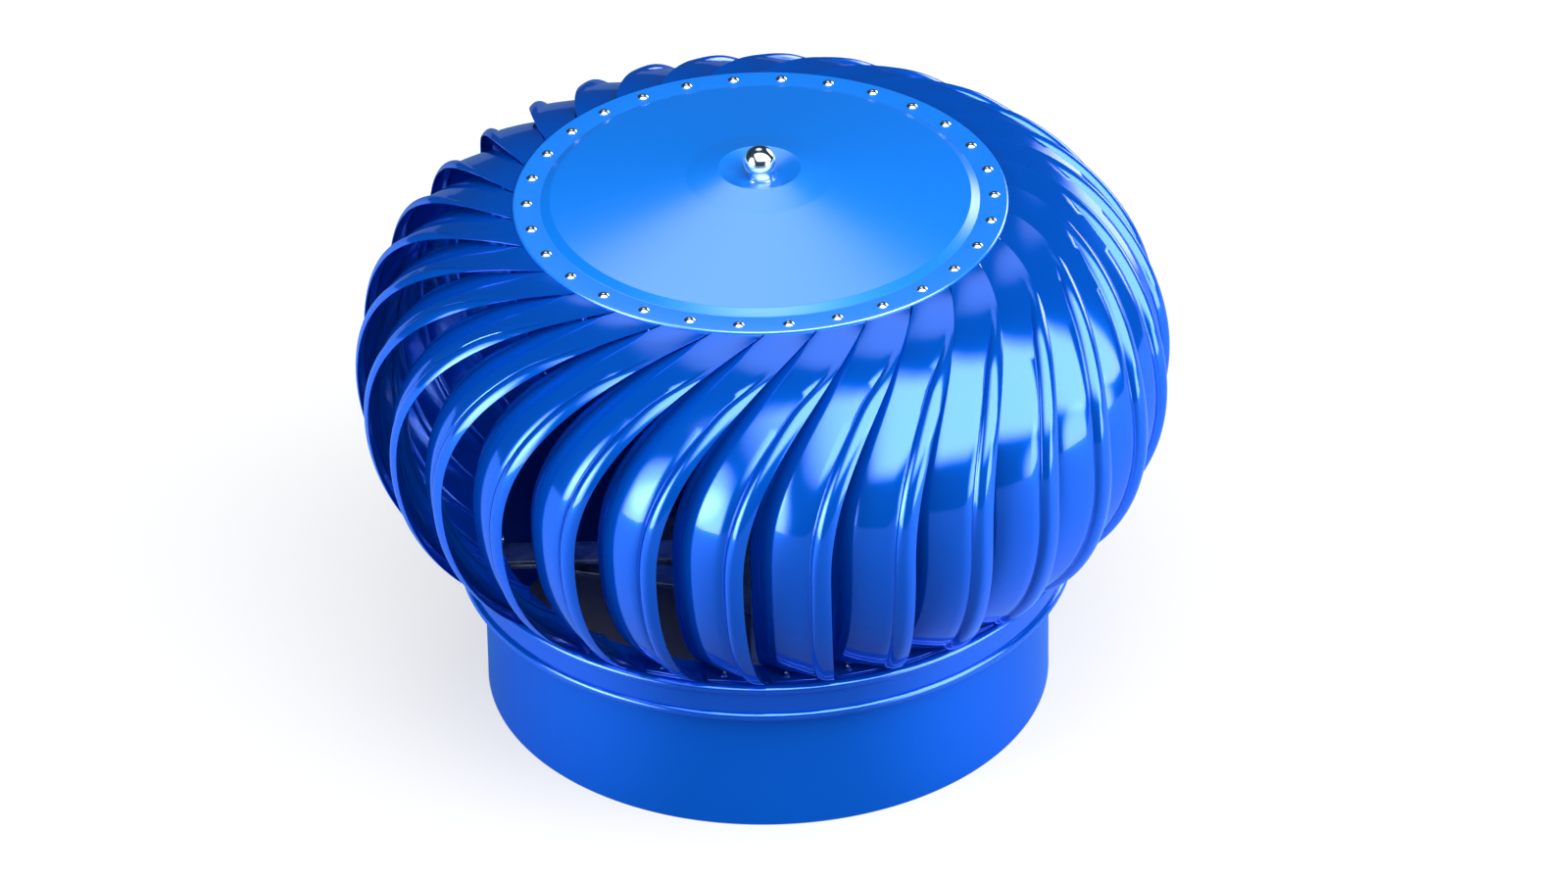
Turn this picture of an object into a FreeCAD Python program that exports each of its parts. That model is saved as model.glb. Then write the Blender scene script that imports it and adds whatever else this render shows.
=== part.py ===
# A wind-driven turbine roof ventilator with a 500 mm throat, in millimetres, +Z up.
# A fixed throat carries a bearing tube on four arms. A rotor of thirty swept vanes,
# riveted between a lower ring and a cap, turns on a shaft in that tube.
# The origin is the centre of the throat's foot. Azimuth 0 is the front, which is -Y,
# and azimuths grow counter-clockwise seen from above.
import FreeCAD, Part
import math
import os

Vector = FreeCAD.Vector
UP = Vector(0, 0, 1)
ORIGIN = Vector(0, 0, 0)

# Throat
throat_radius = 250.0
throat_sheet = 1.2
throat_wall_height = 150.0
throat_curl = 2.5
seam_width = 14.0
seam_margin = 3.0
seam_azimuth = 200.0

# Lower ring of the rotor
rotor_air = 7.1
ring_sheet = 1.2
ring_overhang = 10.0
skirt_gap = 20.0
skirt_taper = 1.6
upper_bead_radius = 4.8
upper_bead_stand = 0.8
lower_bead_radius = 5.0
lower_bead_inset = 1.7
skirt_drop = 34.0
lower_bead_curl = 45.0

# Cap of the rotor
cap_rise = 323.0
cap_sheet = 1.2
cap_radius = 214.0
cap_lip = 2.8
cap_lip_round = 1.6
cap_rim_width = 24.0
cap_step = 3.0
cap_cone_rise = 25.0
cap_cone_top_radius = 64.0
cap_ridge_radius = 35.7
cap_ridge_rise = 7.0
cap_seat_radius = 15.0
top_ring_sheet = 2.0
top_ring_margin = 2.0

# Vanes
vane_count = 30
vane_sheet = 0.8
belly_overhang = 105.0
belly_rise = 158.0
lower_curve_width = 165.0
tip_inset = 1.3
tip_lead = 3.3
top_sweep = 27.3
top_sweep_power = 1.1
foot_overlap = 1.3
foot_overhang = 3.5
belly_gap = 1.0
belly_depth = 35.0
shoulder_overlap = 3.0
lap_close_angle = 68.0
rim_gap = 0.5
body_crown = 10.0
crown_place = 0.66
edge_bead_width = 16.0
edge_bead_height = 4.2
edge_groove_depth = 1.0
bead_start_angle = 72.0
bead_full_angle = 54.0
bead_foot_fade = 8.0
cap_tab_inset = 2.0
cap_tab_taper = 0.3
foot_tab_margin = 0.6
foot_tab_inset = 1.2

# Rivets
rivet_shank = 4.8
rivet_fit = 0.1
cap_rivet_head = 9.5
cap_rivet_dome = 2.4
cap_rivet_inset = 12.0
ring_rivet_head = 8.4
ring_rivet_dome = 1.6
ring_rivet_bore = 2.8
ring_rivet_inset = 16.5
ring_rivet_turn = 8.6
rivet_tail_flare = 0.8
rivet_tail_length = 3.6
rivet_crown = 0.6

# Bearings, of the 17 x 40 x 12 size
bearing_bore = 17.0
bearing_outside = 40.0
bearing_width = 12.0
bearing_inner_wall = 3.5
bearing_outer_wall = 4.0
seal_sheet = 1.0
seal_air = 0.08
seat_fit = 0.02

# Bearing tube
tube_wall = 6.0
tube_below_arms = 58.0
tube_above_arms = 98.0
tube_shoulder = 2.5
lower_bearing_depth = 20.0
upper_bearing_depth = 20.0
circlip_sheet = 1.75
circlip_depth = 1.25
circlip_height = 3.6
circlip_slack = 0.1

# Dust plug and rain collar
plug_flange = 1.5
plug_spigot_depth = 6.0
plug_spigot_wall = 2.0
collar_reach = 14.0
collar_sheet = 2.0
collar_hub_wall = 5.0
collar_hub_height = 8.0
collar_drop = 10.0
collar_air = 3.0

# Arms that carry the bearing tube
arm_count = 4
arm_width = 30.0
arm_sheet = 4.0
arm_setback = 28.0
arm_tab_height = 30.0
arm_wall_fit = 0.05
brace_weld_inset = 43.8
brace_foot = 22.0
brace_tube_rise = 18.0
weld_fit = 0.05

# Arm bolts, M8
arm_bolt = 8.0
arm_bolt_rise = 14.0
arm_bolt_fit = 0.2
arm_bolt_head_flats = 13.0
arm_bolt_head_height = 5.3
arm_nut_height = 6.5
arm_washer_radius = 8.0
arm_washer_sheet = 1.6
arm_bolt_spare = 4.0

# Shaft and its M16 threads
shaft_thread_step = 1.0
shaft_foot_spare = 1.5
shaft_thread_length = 36.0
hub_plate_margin = 1.0
hub_plate_sheet = 3.0
hub_bore_fit = 0.2
thread_fit = 0.05
hub_nut_wall = 4.0
hub_nut_height = 13.0
foot_washer_radius = 11.5
foot_washer_sheet = 2.0
ball_radius = 14.15
ball_centre_height = 13.0
ball_collar_wall = 3.75
ball_thread_depth = 15.0
spacer_wall = 3.0

# Levels, radii and angles that follow
pitch = 360.0 / vane_count
throat_bore = throat_radius - throat_sheet
ring_underside = throat_wall_height + throat_curl + throat_sheet + rotor_air
ring_plane = ring_underside + ring_sheet
ring_inner_radius = throat_radius - ring_overhang
ring_rivet_radius = ring_inner_radius + ring_rivet_inset
ring_rivet_azimuth = pitch - ring_rivet_turn
skirt_radius = throat_radius + skirt_gap + ring_sheet
upper_bead_centre = Vector(skirt_radius + upper_bead_stand, 0,
                           ring_plane + upper_bead_stand - upper_bead_radius)
ring_flat_radius = upper_bead_centre.x - math.sqrt(
    upper_bead_radius ** 2 - (upper_bead_radius - upper_bead_stand) ** 2)

cap_level = ring_plane + cap_rise
cap_underside = cap_level - cap_sheet
cap_step_radius = cap_radius - cap_rim_width
vane_top = cap_underside - top_ring_sheet
nut_seat = cap_level + cap_cone_rise
hub_plate_top = nut_seat - cap_sheet
hub_plate_bottom = hub_plate_top - hub_plate_sheet
hub_plate_radius = cap_cone_top_radius - hub_plate_margin

tip_radius = ring_flat_radius - tip_inset
belly_radius = throat_radius + belly_overhang
belly_height = ring_plane + belly_rise
lower_curve_centre = belly_radius - lower_curve_width
foot_angle = math.degrees(math.acos((tip_radius - lower_curve_centre) / lower_curve_width))
lower_curve_height = (belly_height - ring_plane) / math.sin(math.radians(foot_angle))
upper_curve_width = belly_radius - cap_radius
upper_curve_height = vane_top - belly_height
foot_lap = pitch + foot_overlap
foot_depth = tip_radius - ring_inner_radius + foot_overhang
belly_lap = pitch - belly_gap
shoulder_lap = pitch + shoulder_overlap
rim_lap = pitch - rim_gap
rim_azimuth = top_sweep - tip_lead
cap_rivet_radius = cap_radius - cap_rivet_inset
cap_rivet_azimuth = rim_azimuth - rim_lap / 2

bearing_inner_shoulder = bearing_bore + 2 * bearing_inner_wall
bearing_outer_shoulder = bearing_outside - 2 * bearing_outer_wall
tube_outside = bearing_outside + 2 * tube_wall
arm_level = throat_wall_height - arm_setback
arm_bolt_height = arm_level + arm_bolt_rise
tube_bottom = arm_level - tube_below_arms
tube_top = arm_level + tube_above_arms
lower_bearing_level = tube_bottom + lower_bearing_depth
upper_bearing_level = tube_top - upper_bearing_depth
brace_weld_radius = throat_bore - brace_weld_inset
brace_tube_level = tube_bottom + brace_tube_rise
shaft_diameter = bearing_inner_shoulder
shaft_thread = bearing_bore - shaft_thread_step
hub_nut_flats = shaft_thread + 2 * hub_nut_wall
ball_collar_radius = shaft_thread / 2 + ball_collar_wall
collar_radius = tube_outside / 2 + collar_reach
collar_hub_radius = shaft_diameter / 2 + collar_hub_wall


def spot(radius, azimuth, height):
    """A point from its radius, its azimuth in degrees and its height."""
    turn = math.radians(azimuth)
    return Vector(radius * math.sin(turn), -radius * math.cos(turn), height)


def line(start, end):
    return Part.LineSegment(start, end).toShape()


def arc(start, middle, end):
    return Part.Arc(start, middle, end).toShape()


def chain(points):
    """Straight edges through points given as (radius, height) in the XZ plane."""
    spots = [Vector(radius, 0, height) for radius, height in points]
    return [line(start, end) for start, end in zip(spots, spots[1:])]


def spun(face):
    """A solid of revolution about the rotor's axis."""
    return face.revolve(ORIGIN, UP, 360)


def spun_outline(points):
    """A solid of revolution from a closed outline of (radius, height) corners."""
    return spun(Part.Face(Part.Wire(chain(points + points[:1]))))


def spun_sheet(edges, sheet):
    """A revolved sheet: the edges are one side, and the sheet lies to the given side."""
    return spun(Part.Wire(edges).makeOffset2D(sheet, 2, True, True, False))


def disc(radius, bottom, top, bore=0.0):
    """A round plate or sleeve on the axis."""
    plate = Part.makeCylinder(radius, top - bottom, Vector(0, 0, bottom))
    if bore:
        plate = plate.cut(Part.makeCylinder(bore, top - bottom, Vector(0, 0, bottom)))
    return plate


def turned(shape, azimuth):
    """The shape turned about the axis by an azimuth."""
    copy = shape.copy()
    copy.rotate(ORIGIN, UP, azimuth)
    return copy


def ringed(shape, count, first=0.0):
    """Copies of a shape, evenly spaced round the axis."""
    return [turned(shape, first + step * 360.0 / count) for step in range(count)]


def prism(corners, height):
    """A flat plate from its bottom corners and its thickness."""
    outline = Part.makePolygon(corners + corners[:1])
    return Part.Face(outline).extrude(Vector(0, 0, height))


def hexagon(flats, height, bore):
    """A hexagonal nut or head standing on the XY plane, with a round bore."""
    reach = flats / math.sqrt(3)
    corners = [Vector(reach * math.cos(math.radians(60 * side)),
                      reach * math.sin(math.radians(60 * side)), 0) for side in range(6)]
    body = prism(corners, height)
    if bore:
        body = body.cut(Part.makeCylinder(bore, height))
    return body


def save(name, shape):
    shape.exportStep("parts/" + name + ".step")


# Throat

def make_throat():
    """The fixed neck: a rolled sheet with a curled top edge and a lapped seam at the back."""
    foot = Vector(throat_radius, 0, 0)
    curl_start = Vector(throat_radius, 0, throat_wall_height)
    curl_top = curl_start + Vector(throat_curl, 0, throat_curl)
    curl_end = curl_start + Vector(2 * throat_curl, 0, 0)
    wall = spun_sheet([line(foot, curl_start), arc(curl_start, curl_top, curl_end)], throat_sheet)
    seam_half = math.degrees(seam_width / 2 / throat_radius)
    seam = disc(throat_radius + throat_sheet, seam_margin, throat_wall_height - seam_margin,
                throat_radius - throat_sheet / 2)
    reach = 2 * throat_radius
    wedge = prism([ORIGIN, spot(reach, seam_azimuth - seam_half, 0),
                   spot(reach, seam_azimuth + seam_half, 0)], throat_wall_height)
    neck = wall.fuse(seam.common(wedge)).removeSplitter()
    for drill in ringed(arm_bolt_hole(), arm_count):
        neck = neck.cut(drill)
    return neck


def arm_bolt_hole():
    """The hole of one arm bolt through the throat wall and the arm's tab, at the front."""
    start = Vector(0, -throat_bore + 3 * arm_sheet, arm_bolt_height)
    return Part.makeCylinder(arm_bolt / 2 + arm_bolt_fit, 4 * arm_sheet, start, Vector(0, -1, 0))


# Arms, braces and their bolts

def arm_tab_face():
    """How far out the flat tab of an arm lies, so that its upright edges meet the wall."""
    return math.sqrt(throat_bore ** 2 - (arm_width / 2) ** 2) - arm_wall_fit


def make_arm():
    """A flat bar from the bearing tube to the throat wall, its end bent up for the bolt."""
    outer = arm_tab_face()
    start = tube_outside / 2 - arm_sheet
    bar_bottom = arm_level - arm_sheet
    outline = [Vector(-arm_width / 2, -start, bar_bottom), Vector(-arm_width / 2, -outer, bar_bottom),
               Vector(-arm_width / 2, -outer, arm_level - arm_sheet + arm_tab_height),
               Vector(-arm_width / 2, arm_sheet - outer, arm_level - arm_sheet + arm_tab_height),
               Vector(-arm_width / 2, arm_sheet - outer, arm_level),
               Vector(-arm_width / 2, -start, arm_level)]
    bar = Part.Face(Part.makePolygon(outline + outline[:1])).extrude(Vector(arm_width, 0, 0))
    bar = bar.cut(disc(tube_outside / 2 + weld_fit, 0, tube_top))
    return bar.cut(arm_bolt_hole())


def make_brace():
    """A sloping flat bar that holds the foot of the bearing tube from under the arm."""
    top = arm_level - arm_sheet - weld_fit
    inner = tube_outside / 2 - arm_sheet
    left = -arm_width / 2
    outline = [Vector(left, -inner, brace_tube_level), Vector(left, -brace_weld_radius, top),
               Vector(left, -brace_weld_radius - brace_foot, top),
               Vector(left, -brace_weld_radius - brace_foot, top - arm_sheet),
               Vector(left, -brace_weld_radius, top - arm_sheet),
               Vector(left, -inner, brace_tube_level - arm_sheet)]
    bar = Part.Face(Part.makePolygon(outline + outline[:1])).extrude(Vector(arm_width, 0, 0))
    return bar.cut(disc(tube_outside / 2 + weld_fit, 0, tube_top))


def across_wall(shape, distance):
    """A shape that stands on the XY plane, laid along -Y at the arm bolt's height."""
    laid = shape.copy()
    laid.rotate(ORIGIN, Vector(1, 0, 0), 90)
    laid.translate(Vector(0, -distance, arm_bolt_height))
    return laid


def make_arm_bolts():
    """Hexagon bolts with their heads outside the throat, hidden behind the rotor's skirt."""
    under_head = throat_radius + arm_washer_sheet
    end = arm_tab_face() - arm_sheet - arm_washer_sheet - arm_nut_height - arm_bolt_spare
    head = across_wall(hexagon(arm_bolt_head_flats, arm_bolt_head_height, 0), under_head)
    shank = across_wall(Part.makeCylinder(arm_bolt / 2, under_head - end), end)
    return ringed(head.fuse(shank).removeSplitter(), arm_count)


def make_arm_nuts():
    distance = arm_tab_face() - arm_sheet - arm_washer_sheet - arm_nut_height
    nut = hexagon(arm_bolt_head_flats, arm_nut_height, arm_bolt / 2 + thread_fit)
    return ringed(across_wall(nut, distance), arm_count)


def make_arm_washers():
    washer = disc(arm_washer_radius, 0, arm_washer_sheet, arm_bolt / 2 + arm_bolt_fit)
    outside = across_wall(washer, throat_radius)
    inside = across_wall(washer, arm_tab_face() - arm_sheet - arm_washer_sheet)
    return ringed(outside, arm_count) + ringed(inside, arm_count)


# Bearing tube and bearings

def make_bearing_tube():
    """A turned tube with a stepped seat for a bearing and a circlip groove at each end."""
    seat = bearing_outside / 2
    waist = seat - tube_shoulder
    outside = tube_outside / 2
    groove = seat + circlip_depth
    lower_top = lower_bearing_level + bearing_width
    upper_groove = upper_bearing_level + bearing_width
    lower_groove = lower_bearing_level - circlip_sheet - circlip_slack
    return spun_outline([
        (seat, tube_bottom), (seat, lower_groove), (groove, lower_groove),
        (groove, lower_bearing_level), (seat, lower_bearing_level),
        (seat, lower_top), (waist, lower_top), (waist, upper_bearing_level),
        (seat, upper_bearing_level), (seat, upper_groove), (groove, upper_groove),
        (groove, upper_groove + circlip_sheet + circlip_slack),
        (seat, upper_groove + circlip_sheet + circlip_slack),
        (seat, tube_top), (outside, tube_top), (outside, tube_bottom)])


def make_outer_ring(level):
    """The outer ring of a bearing, with its two seals."""
    top = level + bearing_width
    outside = bearing_outside / 2 - seat_fit
    shoulder = bearing_outer_shoulder / 2
    lip = bearing_inner_shoulder / 2 + seal_air
    return spun_outline([
        (lip, level), (outside, level), (outside, top), (lip, top), (lip, top - seal_sheet),
        (shoulder, top - seal_sheet), (shoulder, level + seal_sheet), (lip, level + seal_sheet)])


def make_inner_ring(level):
    bore = bearing_bore / 2 + seat_fit
    return disc(bearing_inner_shoulder / 2, level, level + bearing_width, bore)


def make_circlips():
    """Internal snap rings that hold both bearings in the tube."""
    seat = bearing_outside / 2
    upper_bottom = upper_bearing_level + bearing_width + circlip_slack / 2
    lower_top = lower_bearing_level - circlip_slack / 2
    clips = []
    for bottom in (upper_bottom, lower_top - circlip_sheet):
        top = bottom + circlip_sheet
        clip = disc(seat + circlip_depth - seat_fit, bottom, top, seat - circlip_height)
        slot = Part.makeBox(seat, circlip_height * 2, circlip_sheet,
                            Vector(0, -circlip_height, bottom))
        clips.append(clip.cut(slot))
    return clips


def make_dust_plug():
    """A moulded plug that closes the foot of the bearing tube."""
    spigot = bearing_outside / 2 - seat_fit
    hollow = spigot - plug_spigot_wall
    return spun_outline([
        (0, tube_bottom - plug_flange), (tube_outside / 2, tube_bottom - plug_flange),
        (tube_outside / 2, tube_bottom), (spigot, tube_bottom),
        (spigot, tube_bottom + plug_spigot_depth), (hollow, tube_bottom + plug_spigot_depth),
        (hollow, tube_bottom), (0, tube_bottom)])


# Shaft and hub

def make_shaft():
    """A stepped shaft, threaded at its foot for the lock nut and at its head for the cap."""
    foot = (lower_bearing_level - foot_washer_sheet - hub_nut_height - shaft_foot_spare)
    foot_thread_top = lower_bearing_level - foot_washer_sheet / 2
    head = nut_seat + ball_thread_depth - shaft_foot_spare
    head_thread_bottom = head - shaft_thread_length
    shoulder = upper_bearing_level + bearing_width
    thread = shaft_thread / 2
    return spun_outline([
        (0, foot), (thread, foot), (thread, foot_thread_top), (bearing_bore / 2, foot_thread_top),
        (bearing_bore / 2, shoulder), (shaft_diameter / 2, shoulder),
        (shaft_diameter / 2, head_thread_bottom), (thread, head_thread_bottom),
        (thread, head), (0, head)])


def make_spacer():
    """The sleeve between the two inner rings."""
    bore = bearing_bore / 2 + seat_fit
    return disc(bore + spacer_wall, lower_bearing_level + bearing_width, upper_bearing_level, bore)


def make_foot_washer():
    bore = bearing_bore / 2 + hub_bore_fit
    return disc(foot_washer_radius, lower_bearing_level - foot_washer_sheet,
                lower_bearing_level, bore)


def make_foot_nut():
    nut = hexagon(hub_nut_flats, hub_nut_height, shaft_thread / 2 + thread_fit)
    nut.translate(Vector(0, 0, lower_bearing_level - foot_washer_sheet - hub_nut_height))
    return nut


def make_hub_nut():
    nut = hexagon(hub_nut_flats, hub_nut_height, shaft_thread / 2 + thread_fit)
    nut.translate(Vector(0, 0, hub_plate_bottom - hub_nut_height))
    return nut


def make_hub_plate():
    """The plate that spreads the clamping load under the middle of the cap."""
    return disc(hub_plate_radius, hub_plate_bottom, hub_plate_top, shaft_thread / 2 + hub_bore_fit)


def make_ball_nut():
    """A polished ball-headed cap nut on a short round collar."""
    centre = nut_seat + ball_centre_height
    collar_top = centre - math.sqrt(ball_radius ** 2 - ball_collar_radius ** 2)
    thread = shaft_thread / 2 + thread_fit
    thread_top = nut_seat + ball_thread_depth
    ball = Part.Arc(Vector(ball_collar_radius, 0, collar_top), Vector(ball_radius, 0, centre),
                    Vector(0, 0, centre + ball_radius)).toShape()
    edges = chain([(0, centre + ball_radius), (0, thread_top), (thread, thread_top),
                   (thread, nut_seat), (ball_collar_radius, nut_seat),
                   (ball_collar_radius, collar_top)])
    return spun(Part.Face(Part.Wire(edges + [ball])))


def make_rain_collar():
    """A flared collar on the shaft that throws rain clear of the upper bearing."""
    bore = shaft_diameter / 2 + seat_fit
    skirt_bottom = tube_top + collar_air
    flare_bottom = skirt_bottom + collar_drop
    hub_top = flare_bottom + collar_sheet + collar_hub_height
    return spun_outline([
        (bore, flare_bottom), (collar_hub_radius, flare_bottom), (collar_radius, skirt_bottom),
        (collar_radius, skirt_bottom + collar_sheet),
        (collar_hub_radius, flare_bottom + collar_sheet), (collar_hub_radius, hub_top),
        (bore, hub_top)])


# Rotor shell

def make_lower_ring():
    """The flat ring under the vanes, with a beaded skirt that hangs outside the throat."""
    centre = upper_bead_centre
    flat_end = Vector(ring_flat_radius, 0, ring_plane)
    bead_out = centre + Vector(upper_bead_radius, 0, 0)
    bead_foot = Vector(skirt_radius, 0,
                       centre.z - math.sqrt(upper_bead_radius ** 2 - upper_bead_stand ** 2))
    low_centre = Vector(skirt_radius - skirt_taper - lower_bead_inset, 0, ring_plane - skirt_drop)
    low_start = Vector(skirt_radius - skirt_taper, 0,
                       low_centre.z + math.sqrt(lower_bead_radius ** 2 - lower_bead_inset ** 2))
    low_out = low_centre + Vector(lower_bead_radius, 0, 0)
    curl = math.radians(90 + lower_bead_curl)
    low_end = low_centre + Vector(math.cos(curl), 0, -math.sin(curl)) * lower_bead_radius
    flat_start = Vector(ring_inner_radius, 0, ring_plane)
    edges = [line(flat_start, flat_end), arc(flat_end, bead_out, bead_foot),
             line(bead_foot, low_start), arc(low_start, low_out, low_end)]
    ring = spun_sheet(edges, -ring_sheet)
    return cut_all(ring, rivet_holes(ring_rivet_radius, ring_rivet_azimuth, ring_plane))


def rivet_holes(radius, azimuth, level):
    """Drills for one circle of rivets."""
    depth = 4 * (ring_sheet + vane_sheet + top_ring_sheet)
    drill = Part.makeCylinder((rivet_shank + rivet_fit) / 2, depth,
                              spot(radius, azimuth, level - depth / 2))
    return ringed(drill, vane_count)


def cut_all(shape, drills):
    return shape.cut(Part.makeCompound(drills))


def make_cap():
    """The pressed cap: a flat rim with a turned lip, a shallow cone and a raised hub seat."""
    cone_foot = cap_step_radius - cap_step / 3
    corners = chain([
        (shaft_thread / 2 + hub_bore_fit, nut_seat), (cap_seat_radius, nut_seat),
        (cap_ridge_radius, nut_seat + cap_ridge_rise), (cap_cone_top_radius, nut_seat),
        (cone_foot, cap_level + cap_step), (cap_step_radius, cap_level),
        (cap_radius - cap_lip_round, cap_level)])
    round_start = Vector(cap_radius - cap_lip_round, 0, cap_level)
    round_end = Vector(cap_radius, 0, cap_level - cap_lip_round)
    slant = cap_lip_round * (1 - math.sqrt(0.5))
    round_middle = Vector(cap_radius - slant, 0, cap_level - slant)
    lip_end = Vector(cap_radius, 0, cap_level - cap_lip)
    edges = corners + [arc(round_start, round_middle, round_end), line(round_end, lip_end)]
    cap = spun_sheet(edges, -cap_sheet)
    return cut_all(cap, rivet_holes(cap_rivet_radius, cap_rivet_azimuth, cap_level))


def make_top_ring():
    """The flat ring between the cap and the vanes' upper tabs."""
    ring = disc(cap_radius - cap_sheet - top_ring_margin, vane_top, cap_underside,
                cap_step_radius + top_ring_margin)
    return cut_all(ring, rivet_holes(cap_rivet_radius, cap_rivet_azimuth, cap_level))


def make_rivet(head_width, dome, bore, grip):
    """A blind rivet whose head sits on the XY plane and whose tail hangs below."""
    reach = head_width / 2
    shank = rivet_shank / 2
    tail = shank + rivet_tail_flare
    end = -grip - rivet_tail_length
    outline = [(reach, 0), (shank, 0), (shank, -grip), (tail, -grip), (tail, end), (0, end)]
    if bore:
        outline += [(0, -grip), (bore / 2, -grip), (bore / 2, dome)]
    else:
        outline += [(0, dome)]
    return spun_outline(outline + [(reach * rivet_crown, dome)])


def make_rivets(rivet, radius, azimuth, level):
    placed = rivet.copy()
    placed.translate(spot(radius, azimuth, level))
    return ringed(placed, vane_count)


# Vanes

def smooth(value):
    """A smooth step from 0 to 1."""
    held = min(1.0, max(0.0, value))
    return held * held * (3 - 2 * held)


def edge_radius_height(angle):
    """The vane's outer edge in the meridian plane: two quarter ellipses that meet at the belly."""
    turn = math.radians(angle)
    if angle < 0:
        return (lower_curve_centre + lower_curve_width * math.cos(turn),
                belly_height + lower_curve_height * math.sin(turn))
    return (cap_radius + upper_curve_width * math.cos(turn),
            belly_height + upper_curve_height * math.sin(turn))


def edge_azimuth(angle):
    """The outer edge leads at its tip and sweeps forward under the cap."""
    if angle < 0:
        return -tip_lead + tip_lead * (angle / foot_angle) ** 2
    return -tip_lead + top_sweep * (1 - math.cos(math.radians(angle))) ** top_sweep_power


def meridian_normal(angle):
    """The barrel's outward normal as (radial, upward); level below the belly, so that the
    sections there are level and the lowest one lies on the lower ring."""
    if angle < 0:
        return 1.0, 0.0
    radial = upper_curve_height * math.cos(math.radians(angle))
    upward = upper_curve_width * math.sin(math.radians(angle))
    size = math.hypot(radial, upward)
    return radial / size, upward / size


def outer_point(angle):
    radius, height = edge_radius_height(angle)
    return spot(radius, edge_azimuth(angle), height)


def inner_point(angle):
    """The inner edge: the outer edge sunk along the normal and turned back."""
    radius, height = edge_radius_height(angle)
    radial, upward = meridian_normal(angle)
    turn_back, depth = vane_lap(angle)
    return spot(radius - depth * radial, edge_azimuth(angle) - turn_back, height - depth * upward)


def vane_lap(angle):
    """How far the inner edge is turned back, in degrees, and sunk below the outer edge."""
    if angle < 0:
        share = (angle / foot_angle) ** 2
        return (belly_lap + (foot_lap - belly_lap) * share,
                belly_depth + (foot_depth - belly_depth) * share)
    turn = math.radians(angle)
    closing = smooth((angle - lap_close_angle) / (90 - lap_close_angle))
    shoulder = belly_lap + (shoulder_lap - belly_lap) * math.sin(turn) ** 2
    return (shoulder + (rim_lap - shoulder) * closing, belly_depth * math.cos(turn))


def vane_crown_bead(angle):
    """The crown of the body and the height of the edge bead at a station."""
    if angle < 0:
        return (body_crown * (1 - (angle / foot_angle) ** 2),
                edge_bead_height * smooth((foot_angle + angle) / bead_foot_fade))
    fade = smooth((bead_start_angle - angle) / (bead_start_angle - bead_full_angle))
    return body_crown * math.cos(math.radians(angle)) ** 2, edge_bead_height * fade


def vane_section(angle):
    """The outline of the folded sheet at one station, from the outer edge's bead to the
    inner edge and back along the sheet's other side."""
    start = outer_point(angle)
    along = inner_point(angle) - start
    chord = along.Length
    along.normalize()
    turn_back, depth = vane_lap(angle)
    radial, upward = meridian_normal(angle)
    facing = spot(radial, edge_azimuth(angle) - turn_back / 2, upward)
    off = facing - along * facing.dot(along)
    off.normalize()
    crown, bead = vane_crown_bead(angle)
    bead_share = edge_bead_width / chord
    body_share = (2 * crown_place + bead_share) / 3
    flank_share = (crown_place + 1) / 2
    groove = min(edge_groove_depth, bead)

    def crowned(share):
        if share < crown_place:
            return crown * math.sin(math.pi / 2 * share / crown_place)
        return crown * math.cos(math.pi / 2 * (share - crown_place) / (1 - crown_place))

    profile = [(0, 0), (bead_share / 2, crowned(bead_share / 2) + bead),
               (bead_share, crowned(bead_share) - groove),
               (body_share, crowned(body_share)), (flank_share, crowned(flank_share)), (1, 0)]
    front = [start + along * (share * chord) + off * lift for share, lift in profile]
    sheet = off * (vane_sheet * sheet_growth(angle))
    back = [corner - sheet for corner in reversed(front)]
    return Part.makePolygon(front + back + front[:1])


def sheet_growth(angle):
    """How much thicker the sheet measures in a level section of the sloping lower half."""
    if angle >= 0:
        return 1.0
    run = lower_curve_width * math.sin(math.radians(angle))
    rise = lower_curve_height * math.cos(math.radians(angle))
    return math.hypot(run, rise) / rise


def vane_stations():
    """Angles of the sections, from the foot through the belly to the cap's rim."""
    lower = [-foot_angle, bead_foot_fade / 2 - foot_angle, bead_foot_fade - foot_angle]
    lower += [-foot_angle * share for share in (0.7, 0.5, 0.25)]
    return lower + [0, 16, 30, 43, bead_full_angle, 63, bead_start_angle, 79, 85, 90]


def make_foot_tab():
    """The flat triangle folded out at the foot and riveted to the lower ring."""
    outer = outer_point(-foot_angle)
    inner = inner_point(-foot_angle)
    fold = (inner - outer).normalize()
    under = UP.cross(fold) * (vane_sheet * sheet_growth(-foot_angle))
    back = spot(tip_radius - foot_tab_inset, foot_tab_margin - pitch, ring_plane)
    return prism([outer, back, inner, inner - under, outer - under], vane_sheet)


def make_cap_tab():
    """The flat tongue that runs on under the cap and takes the upper rivet."""
    start = edge_azimuth(90)
    end = start - rim_lap
    depth = cap_radius - cap_step_radius - cap_tab_inset
    inner_radius = cap_radius - depth
    bottom = vane_top - vane_sheet
    return prism([spot(cap_radius, start, bottom), spot(cap_radius, end, bottom),
                  spot(inner_radius, end + cap_tab_taper, bottom),
                  spot(inner_radius, start - cap_tab_taper, bottom)], vane_sheet)


def make_vane():
    """One vane at the front: a pressed, swept sheet with its two tabs and rivet holes."""
    blade = Part.makeLoft([vane_section(angle) for angle in vane_stations()], True, False)
    vane = blade.fuse([make_foot_tab(), make_cap_tab()]).removeSplitter()
    drills = rivet_holes(ring_rivet_radius, ring_rivet_azimuth, ring_plane)
    drills += rivet_holes(cap_rivet_radius, cap_rivet_azimuth, cap_level)
    return cut_all(vane, drills)


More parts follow.
